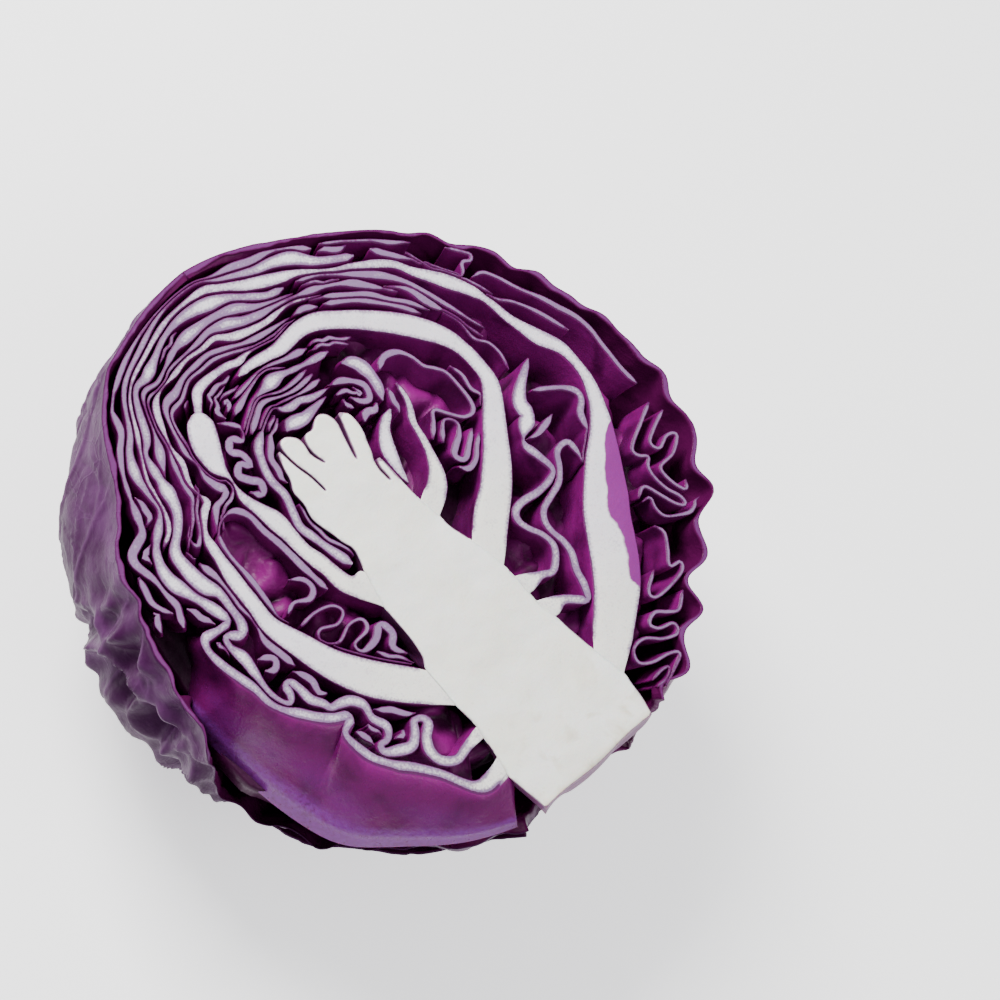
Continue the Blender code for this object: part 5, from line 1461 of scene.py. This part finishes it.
class Paint:
    """Builds one material round its Principled shader."""

    def __init__(self, name: str) -> None:
        """Starts a material of that name."""
        self.material = bpy.data.materials.new(name)
        self.material.use_nodes = True
        self.tree = self.material.node_tree
        self.shader = self.tree.nodes["Principled BSDF"]

    def node(self, kind: str, settings: dict[str, object],
             inputs: "dict[int | str, Socket | float | Colour]", output: int | str = 0) -> Socket:
        """Adds a node.

        Args:
            kind: The node's type.
            settings: Its properties, set first.
            inputs: Values or outputs for its inputs, by name or number.
            output: Which of its outputs to return.

        Returns:
            The output.
        """
        made = self.tree.nodes.new(kind)
        for key, value in settings.items():
            setattr(made, key, value)
        for key, value in inputs.items():
            self.feed(made.inputs[key], value)
        return Socket(self, made.outputs[output])

    def feed(self, socket: bpy.types.NodeSocket, value: "Socket | float | Colour") -> None:
        """Links an output to an input, or sets the input."""
        if isinstance(value, Socket):
            self.tree.links.new(value.output, socket)
        elif isinstance(value, tuple) and socket.type == "RGBA":
            socket.default_value = (*value, 1.0)
        else:
            socket.default_value = value

    def layer(self, name: str) -> Socket:
        """Reads numbers stored on the mesh."""
        return self.node("ShaderNodeAttribute", {"attribute_name": name}, {}, "Fac")

    def place(self) -> Socket:
        """Object coordinates, in metres."""
        return self.node("ShaderNodeTexCoord", {}, {}, "Object")

    def noise(self, size: float, detail: float = 4.0, distortion: float = 0.0) -> Socket:
        """Noise from 0 to 1 whose spots are about size millimetres wide."""
        return self.node("ShaderNodeTexNoise", {}, {
            "Vector": self.place(), "Scale": 1 / (size * MM), "Detail": detail,
            "Distortion": distortion})

    def cells(self, size: float, feature: str = "DISTANCE_TO_EDGE") -> Socket:
        """Distance to the borders of cells about size millimetres wide."""
        wobble = self.node("ShaderNodeTexNoise", {}, {
            "Vector": self.place(), "Scale": 1 / (size * MM), "Detail": 2.0}, "Color")
        small = self.node("ShaderNodeVectorMath", {"operation": "SCALE"},
                          {0: wobble, "Scale": size * MM * 0.7})
        moved = self.node("ShaderNodeVectorMath", {"operation": "ADD"}, {0: self.place(), 1: small})
        return self.node("ShaderNodeTexVoronoi", {"feature": feature},
                         {"Vector": moved, "Scale": 1 / (size * MM)}, "Distance")

    def mix(self, share: "Socket | float", first: "Socket | Colour",
            second: "Socket | Colour") -> Socket:
        """Mixes two colours."""
        return self.node("ShaderNodeMix", {"data_type": "RGBA"}, {0: share, 6: first, 7: second}, 2)

    def finish(self, values: "dict[str, Socket | float | Colour]", bump: Socket | None = None,
               bump_height: float = 0.0) -> bpy.types.Material:
        """Feeds the shader and returns the material."""
        for key, value in values.items():
            self.feed(self.shader.inputs[key], value)
        if bump:
            normal = self.node("ShaderNodeBump", {}, {
                "Height": bump, "Distance": bump_height * MM, "Strength": 1.0}, "Normal")
            self.feed(self.shader.inputs["Normal"], normal)
        return self.material


@dataclass(frozen=True)
class LeafFinish:
    """White or lavender flesh inside a dark purple skin that turns magenta on the walls."""

    white: Colour = (0.76, 0.72, 0.78)
    cream: Colour = (0.84, 0.82, 0.77)
    lavender: Colour = (0.21, 0.125, 0.245)
    violet: Colour = (0.16, 0.02, 0.215)
    blush: Colour = (0.20, 0.018, 0.19)
    rind: Colour = (0.085, 0.004, 0.075)
    # dark purple: the walls' own dark tone, and also painted shade deep down and on the leaning wall
    dark_tone_and_shade: Colour = (0.05, 0.0008, 0.038)
    bright_and_lit: Colour = (0.19, 0.003, 0.14)
    pale: Colour = (0.24, 0.04, 0.22)

    def build(self) -> bpy.types.Material:
        """The colour goes by the distance to the skin on the cut, and by the depth on the walls, which
        get painted shade the deeper they go.
        """
        paint = Paint("leaf_flesh")
        rind = paint.layer("rind") + (paint.noise(0.8, 3) - 0.5) * 0.30
        rind = rind + (paint.noise(5.0, 2) - 0.5) * 0.34
        tint = paint.layer("tint")
        white = paint.layer("white")
        blotch = paint.noise(7.0, 3)
        flesh = paint.mix(tint.band(1.0, 0.0), self.white, self.cream)
        strength = rind.band(1.7, 0.3) * (1.1 - white * 0.45) + blotch.band(0.5, 0.72) * 0.2
        strength = strength + (paint.noise(0.6, 4) - 0.5) * 1.1 + (1 - white) * 0.3
        flesh = paint.mix(strength.band(0, 1), flesh, self.lavender)
        flesh = paint.mix(paint.cells(1.6, "F1").band(0.28, 0.1) * rind.band(0.7, 1.5) * 0.16,
                          flesh, self.lavender)
        blush = paint.layer("blush") + (paint.noise(7.0, 3) - 0.5) * 0.4
        flesh = paint.mix(blush.band(0.58, 0.70), flesh, self.blush)
        cut = paint.mix(rind.band(0.40, 0.16), flesh, self.rind)
        wall = paint.mix(paint.noise(16.0, 3, 0.6).band(0.22, 0.6), self.dark_tone_and_shade, self.bright_and_lit)
        net = paint.cells(7.0).band(0.05, 0.0) * paint.noise(12.0, 2).band(0.5, 0.7) * 0.1
        wall = paint.mix(net, wall, self.pale)
        # Painted shade: the walls get darker the deeper they lie below the cut face.
        wall = paint.mix(paint.layer("below").band(9, 30) * 0.5, wall, self.dark_tone_and_shade)
        foot = paint.layer("foot") + (paint.noise(3.0, 4) - 0.5) * 0.08
        # Painted shade: the leaning wall is darkened from just below its top down to its foot.
        wall = paint.mix(foot.band(0.0, 0.2) * 0.5, wall, self.dark_tone_and_shade)
        speckle = 0.75 + (paint.noise(1.0, 3) - 0.5) * 1.2
        wall = paint.mix(foot.band(0.66, 0.78) * speckle.band(0.2, 1.0), wall, self.violet)
        # Broad violet patches on the lower leaning wall: partly the leaf's own violet, partly painted
        # light on that lit wall.
        wall = paint.mix(foot.band(0.25, 0.6) * paint.noise(30.0, 2).band(0.45, 0.6) * 0.3,
                         wall, self.violet)
        on_wall = paint.layer("below").band(0.14, 0.34)
        colour = paint.mix(on_wall, cut, wall)
        rough = 0.46 - on_wall * 0.16 + (paint.noise(2.0, 3) - 0.5) * 0.16
        fine = paint.noise(0.5, 4) * 0.25 + paint.noise(2.6, 4) * 0.5 + on_wall * paint.noise(5.0, 4)
        return paint.finish({"Base Color": colour, "Roughness": rough,
                             "Subsurface Weight": 0.06, "Subsurface Scale": 0.0015,
                             "Specular IOR Level": 0.28}, fine, 0.35)


@dataclass(frozen=True)
class CoreFinish:
    """Moist cream flesh, a little browned towards the stem's cut end."""

    cream: Colour = (0.90, 0.885, 0.80)
    white: Colour = (0.92, 0.91, 0.87)
    stain: Colour = (0.62, 0.54, 0.38)
    rind: Colour = (0.20, 0.05, 0.19)
    skin: Colour = (0.13, 0.02, 0.11)

    def build(self) -> bpy.types.Material:
        """Cream with faint stains and fibres along the core, and a thin purple edge."""
        paint = Paint("core_flesh")
        place = paint.node("ShaderNodeSeparateXYZ", {}, {0: paint.place()}, "Y")
        rind = paint.layer("rind") + (paint.noise(1.2, 3) - 0.5) * 0.3
        flesh = paint.mix(paint.noise(14.0, 4).band(0.4, 0.65), self.cream, self.white)
        stain = paint.noise(8.0, 4, 0.8).band(0.5, 0.68) * place.band(-0.045, -0.078)
        flesh = paint.mix(stain * 0.55 + place.band(-0.0765, -0.079) * 0.4, flesh, self.stain)
        spots = paint.cells(3.4, "F1").band(0.16, 0.05) * paint.noise(20.0, 2).band(0.45, 0.6)
        flesh = paint.mix(spots * 0.22, flesh, self.stain)
        edged = paint.mix(rind.band(0.34, 0.08) * 0.85, flesh, self.rind)
        colour = paint.mix(paint.layer("below").band(0.2, 1.0), edged, self.skin)
        fine = paint.noise(0.6, 4) * 0.3 + paint.noise(4.0, 4)
        return paint.finish({"Base Color": colour, "Roughness": 0.42 + paint.noise(3.0, 3) * 0.16,
                             "Subsurface Weight": 0.12, "Subsurface Scale": 0.003}, fine, 0.3)


@dataclass(frozen=True)
class BedFinish:
    """Magenta leaf surface with pale fine veins, with painted light on the puckers' tops and painted
    shade in the creases.
    """

    # painted shade for the creases and the depth
    dark_tone_and_shade: Colour = (0.035, 0.0006, 0.025)
    # painted light for the tops of the puckers
    bright_and_lit: Colour = (0.17, 0.002, 0.125)
    pale: Colour = (0.20, 0.03, 0.17)

    def build(self) -> bpy.types.Material:
        """Painted light brightens the tops of the puckers; painted shade darkens the creases and the
        depth.
        """
        paint = Paint("pocket_leaf")
        high = paint.layer("high") + (paint.noise(3.0, 4) - 0.5) * 0.5
        # Painted light on the puckers' tops, painted shade in the creases between them.
        colour = paint.mix(high.band(0.15, 0.75), self.dark_tone_and_shade, self.bright_and_lit)
        colour = paint.mix(paint.cells(5.0).band(0.05, 0.0) * high.band(0.3, 0.7) * 0.08,
                           colour, self.pale)
        # Painted shade: darker with depth below the cut face.
        colour = paint.mix(paint.layer("below").band(9, 20) * 0.6, colour, self.dark_tone_and_shade)
        fine = paint.noise(1.2, 4) * 0.4 + paint.noise(4.0, 4)
        return paint.finish({"Base Color": colour, "Roughness": 0.36 + paint.noise(2.0, 3) * 0.16,
                             "Specular IOR Level": 0.2}, fine, 0.4)


@dataclass(frozen=True)
class OuterFinish:
    """Purple skin under a grey waxy bloom that is partly painted sheen, with pale veins."""

    # grey-violet: the waxy bloom, partly painted sheen
    bloom_and_sheen: Colour = (0.078, 0.021, 0.082)
    skin: Colour = (0.034, 0.0022, 0.034)
    wine: Colour = (0.11, 0.004, 0.08)
    vein: Colour = (0.11, 0.038, 0.115)
    inner: Colour = (0.075, 0.002, 0.05)
    flesh: Colour = (0.125, 0.03, 0.13)
    rind: Colour = (0.085, 0.005, 0.07)

    def build(self) -> bpy.types.Material:
        """Bloom, partly painted sheen, lies in blotches and thins towards the right; the right side is
        redder; the cut rim shows pink flesh.
        """
        paint = Paint("outer_leaf")
        vein = paint.layer("vein")
        turn = paint.layer("turn")
        blotch = paint.noise(26.0, 5, 0.8) + (paint.noise(5.0, 4) - 0.5) * 0.35
        base = paint.mix(turn.band(0.45, 0.95), self.skin, self.wine)
        # Bloom in blotches, partly painted sheen, thinning out towards the right side.
        bloom_and_sheen_share = blotch.band(0.36, 0.66) * (1 - turn.band(0.5, 1.0) * 0.65)
        outside = paint.mix(bloom_and_sheen_share * 0.85, base, self.bloom_and_sheen)
        net = paint.cells(8.0).band(0.05, 0.0) * paint.noise(30.0, 2).band(0.4, 0.6) * 0.35
        outside = paint.mix(net.band(0, 1), outside, self.vein)
        outside = paint.mix(vein.band(0.3, 0.95) * 0.6, outside, self.vein)
        wall = paint.mix(paint.layer("inside"), outside, self.inner)
        rind = paint.layer("rind") + (paint.noise(0.9, 3) - 0.5) * 0.3
        flesh = paint.mix(rind.band(0.2, 0.42), self.rind, self.flesh)
        colour = paint.mix(paint.layer("rind").band(0.02, 0.2), wall, flesh)
        rough = 0.42 - turn.band(0.5, 1.0) * 0.12 + (paint.noise(6.0, 3) - 0.5) * 0.2
        fine = paint.noise(1.1, 4) * 0.3 + paint.noise(5.0, 4) * 0.8 + net * 0.5
        return paint.finish({"Base Color": colour, "Roughness": rough,
                             "Specular IOR Level": 0.11}, fine, 0.4)


@dataclass(frozen=True)
class FloorFinish:
    """A plain pale surface."""

    colour: Colour = (0.95, 0.95, 0.955)

    def build(self) -> bpy.types.Material:
        """One matt colour."""
        return Paint("floor").finish({"Base Color": self.colour, "Roughness": 0.7,
                                      "Emission Color": self.colour, "Emission Strength": 0.95})


@dataclass
class Studio:
    """The floor, the soft lights and the camera, which looks down from the left of the core."""

    tilt: float = 28.0
    roll: float = 129.6
    distance: float = 1.0
    aim: tuple[float, float] = (0.0262, 0.00917)
    lens: float = 137.4
    sensor: float = 36.0
    floor_size: float = 6.0
    sky: Colour = (0.93, 0.95, 1.0)
    sky_strength: float = 0.62
    lights: tuple[tuple[str, Way, float, float, float, Colour], ...] = (
        # name, way to it along the image's right, its up and towards the camera, distance, size,
        # power, colour
        ("key", (-0.25, 1.0, 0.75), 1.1, 0.5, 27, (1.0, 0.99, 0.97)),
        ("fill", (0.9, -0.2, 0.8), 1.3, 0.8, 6, (1.0, 1.0, 1.0)),
    )

    def view_axes(self) -> tuple[Vector, Vector, Vector]:
        """The image's right, its up, and the way back to the camera."""
        tilt, roll = math.radians(self.tilt), math.radians(self.roll)
        back = Vector((-math.sin(tilt), 0, math.cos(tilt)))
        across = Vector((math.cos(tilt), 0, math.sin(tilt)))
        along = Vector((0, 1, 0))
        turn = roll - math.pi / 2
        right = math.cos(roll) * along + math.cos(turn) * across
        up = math.sin(roll) * along + math.sin(turn) * across
        return right.normalized(), up.normalized(), back

    def middle(self) -> Vector:
        """The middle of the cut face, in metres."""
        return Vector((0, 0, FACE_HEIGHT * MM))

    def add_camera(self) -> None:
        """Places the camera so that the head fills the picture as in the photograph."""
        right, up, back = self.view_axes()
        data = bpy.data.cameras.new("camera")
        data.lens = self.lens
        data.sensor_width = self.sensor
        camera = bpy.data.objects.new("camera", data)
        place = self.middle() + right * self.aim[0] + up * self.aim[1] + back * self.distance
        turn = Matrix((right, up, back)).transposed().to_4x4()
        camera.matrix_world = Matrix.Translation(place) @ turn
        bpy.context.scene.collection.objects.link(camera)
        bpy.context.scene.camera = camera

    def add_light(self, name: str, way: Vector, reach: float, size: float, power: float,
                  colour: Colour) -> None:
        """Adds a soft square light that points at the middle of the cut face."""
        data = bpy.data.lights.new(name, "AREA")
        data.size = size
        data.energy = power
        data.color = colour
        light = bpy.data.objects.new(name, data)
        place = self.middle() + way.normalized() * reach
        turn = way.to_track_quat("Z", "Y").to_matrix().to_4x4()
        light.matrix_world = Matrix.Translation(place) @ turn
        bpy.context.scene.collection.objects.link(light)

    def add_floor(self) -> None:
        """Lays the floor that the half rests on."""
        half = self.floor_size / 2
        mesh = bpy.data.meshes.new("floor")
        mesh.from_pydata([(-half, -half, 0), (half, -half, 0), (half, half, 0), (-half, half, 0)],
                         [], [(0, 1, 2, 3)])
        mesh.materials.append(FloorFinish().build())
        floor = bpy.data.objects.new("floor", mesh)
        bpy.context.scene.collection.objects.link(floor)

    def add_sky(self) -> None:
        """Gives an even pale light from all round."""
        world = bpy.data.worlds.new("sky")
        world.use_nodes = True
        background = world.node_tree.nodes["Background"]
        background.inputs["Color"].default_value = (*self.sky, 1.0)
        background.inputs["Strength"].default_value = self.sky_strength
        bpy.context.scene.world = world

    def build(self) -> None:
        """Adds everything."""
        right, up, back = self.view_axes()
        self.add_floor()
        self.add_sky()
        self.add_camera()
        for name, (sideways, upward, backward), *sizes in self.lights:
            way = right * sideways + up * upward + back * backward
            self.add_light(name, way, *sizes)


@dataclass
class CabbageHalf:
    """The whole half: core, leaves, pocket leaves and wrappers."""

    wrappers: tuple[Wrapper, ...] = (
        Wrapper("leaf_wrapper_left", (16, 179.85), (0, 88.8), 300, 140, 52, rim_drop=24,
                cut_sides=(True, False), seed=7, crumple_height=3.4, rim_wave=1.2),
        Wrapper("leaf_wrapper_right", (20.5, 179.85), (90, 180), 240, 120, 130,
                cut_sides=(False, True), seed=11, rim_wave=1.5),
        Wrapper("leaf_wrapper_back", (17, 152), (34, 142), 200, 130, 88, outset=3.0, tuck=12.0,
                seed=15),
    )

    def build(self) -> None:
        """Builds every piece in order."""
        leaf = LeafFinish().build()
        Core().build(CoreFinish().build())
        layout = LeafLayout()
        builder = LeafBuilder()
        lines = layout.fit(LEAF_PLANS)
        extra = (LeafPlan(f"thin_leaf_{k + 1}", (), (), 9, Flesh.SMALL, Origin.SCENE)
                 for k in range(len(lines) - len(LEAF_PLANS)))
        for number, (plan, line) in enumerate(zip((*LEAF_PLANS, *extra), lines)):
            builder.build(plan, line, layout.fine_step, number, leaf)
        Bed().build(BedFinish().build())
        outer = OuterFinish().build()
        for wrapper in self.wrappers:
            wrapper.build(outer)


def main() -> None:
    """Builds the cabbage half and its studio."""
    logging.basicConfig(level=logging.INFO, format="%(name)s %(message)s")
    CabbageHalf().build()
    Studio().build()


if __name__ == "__main__":
    main()
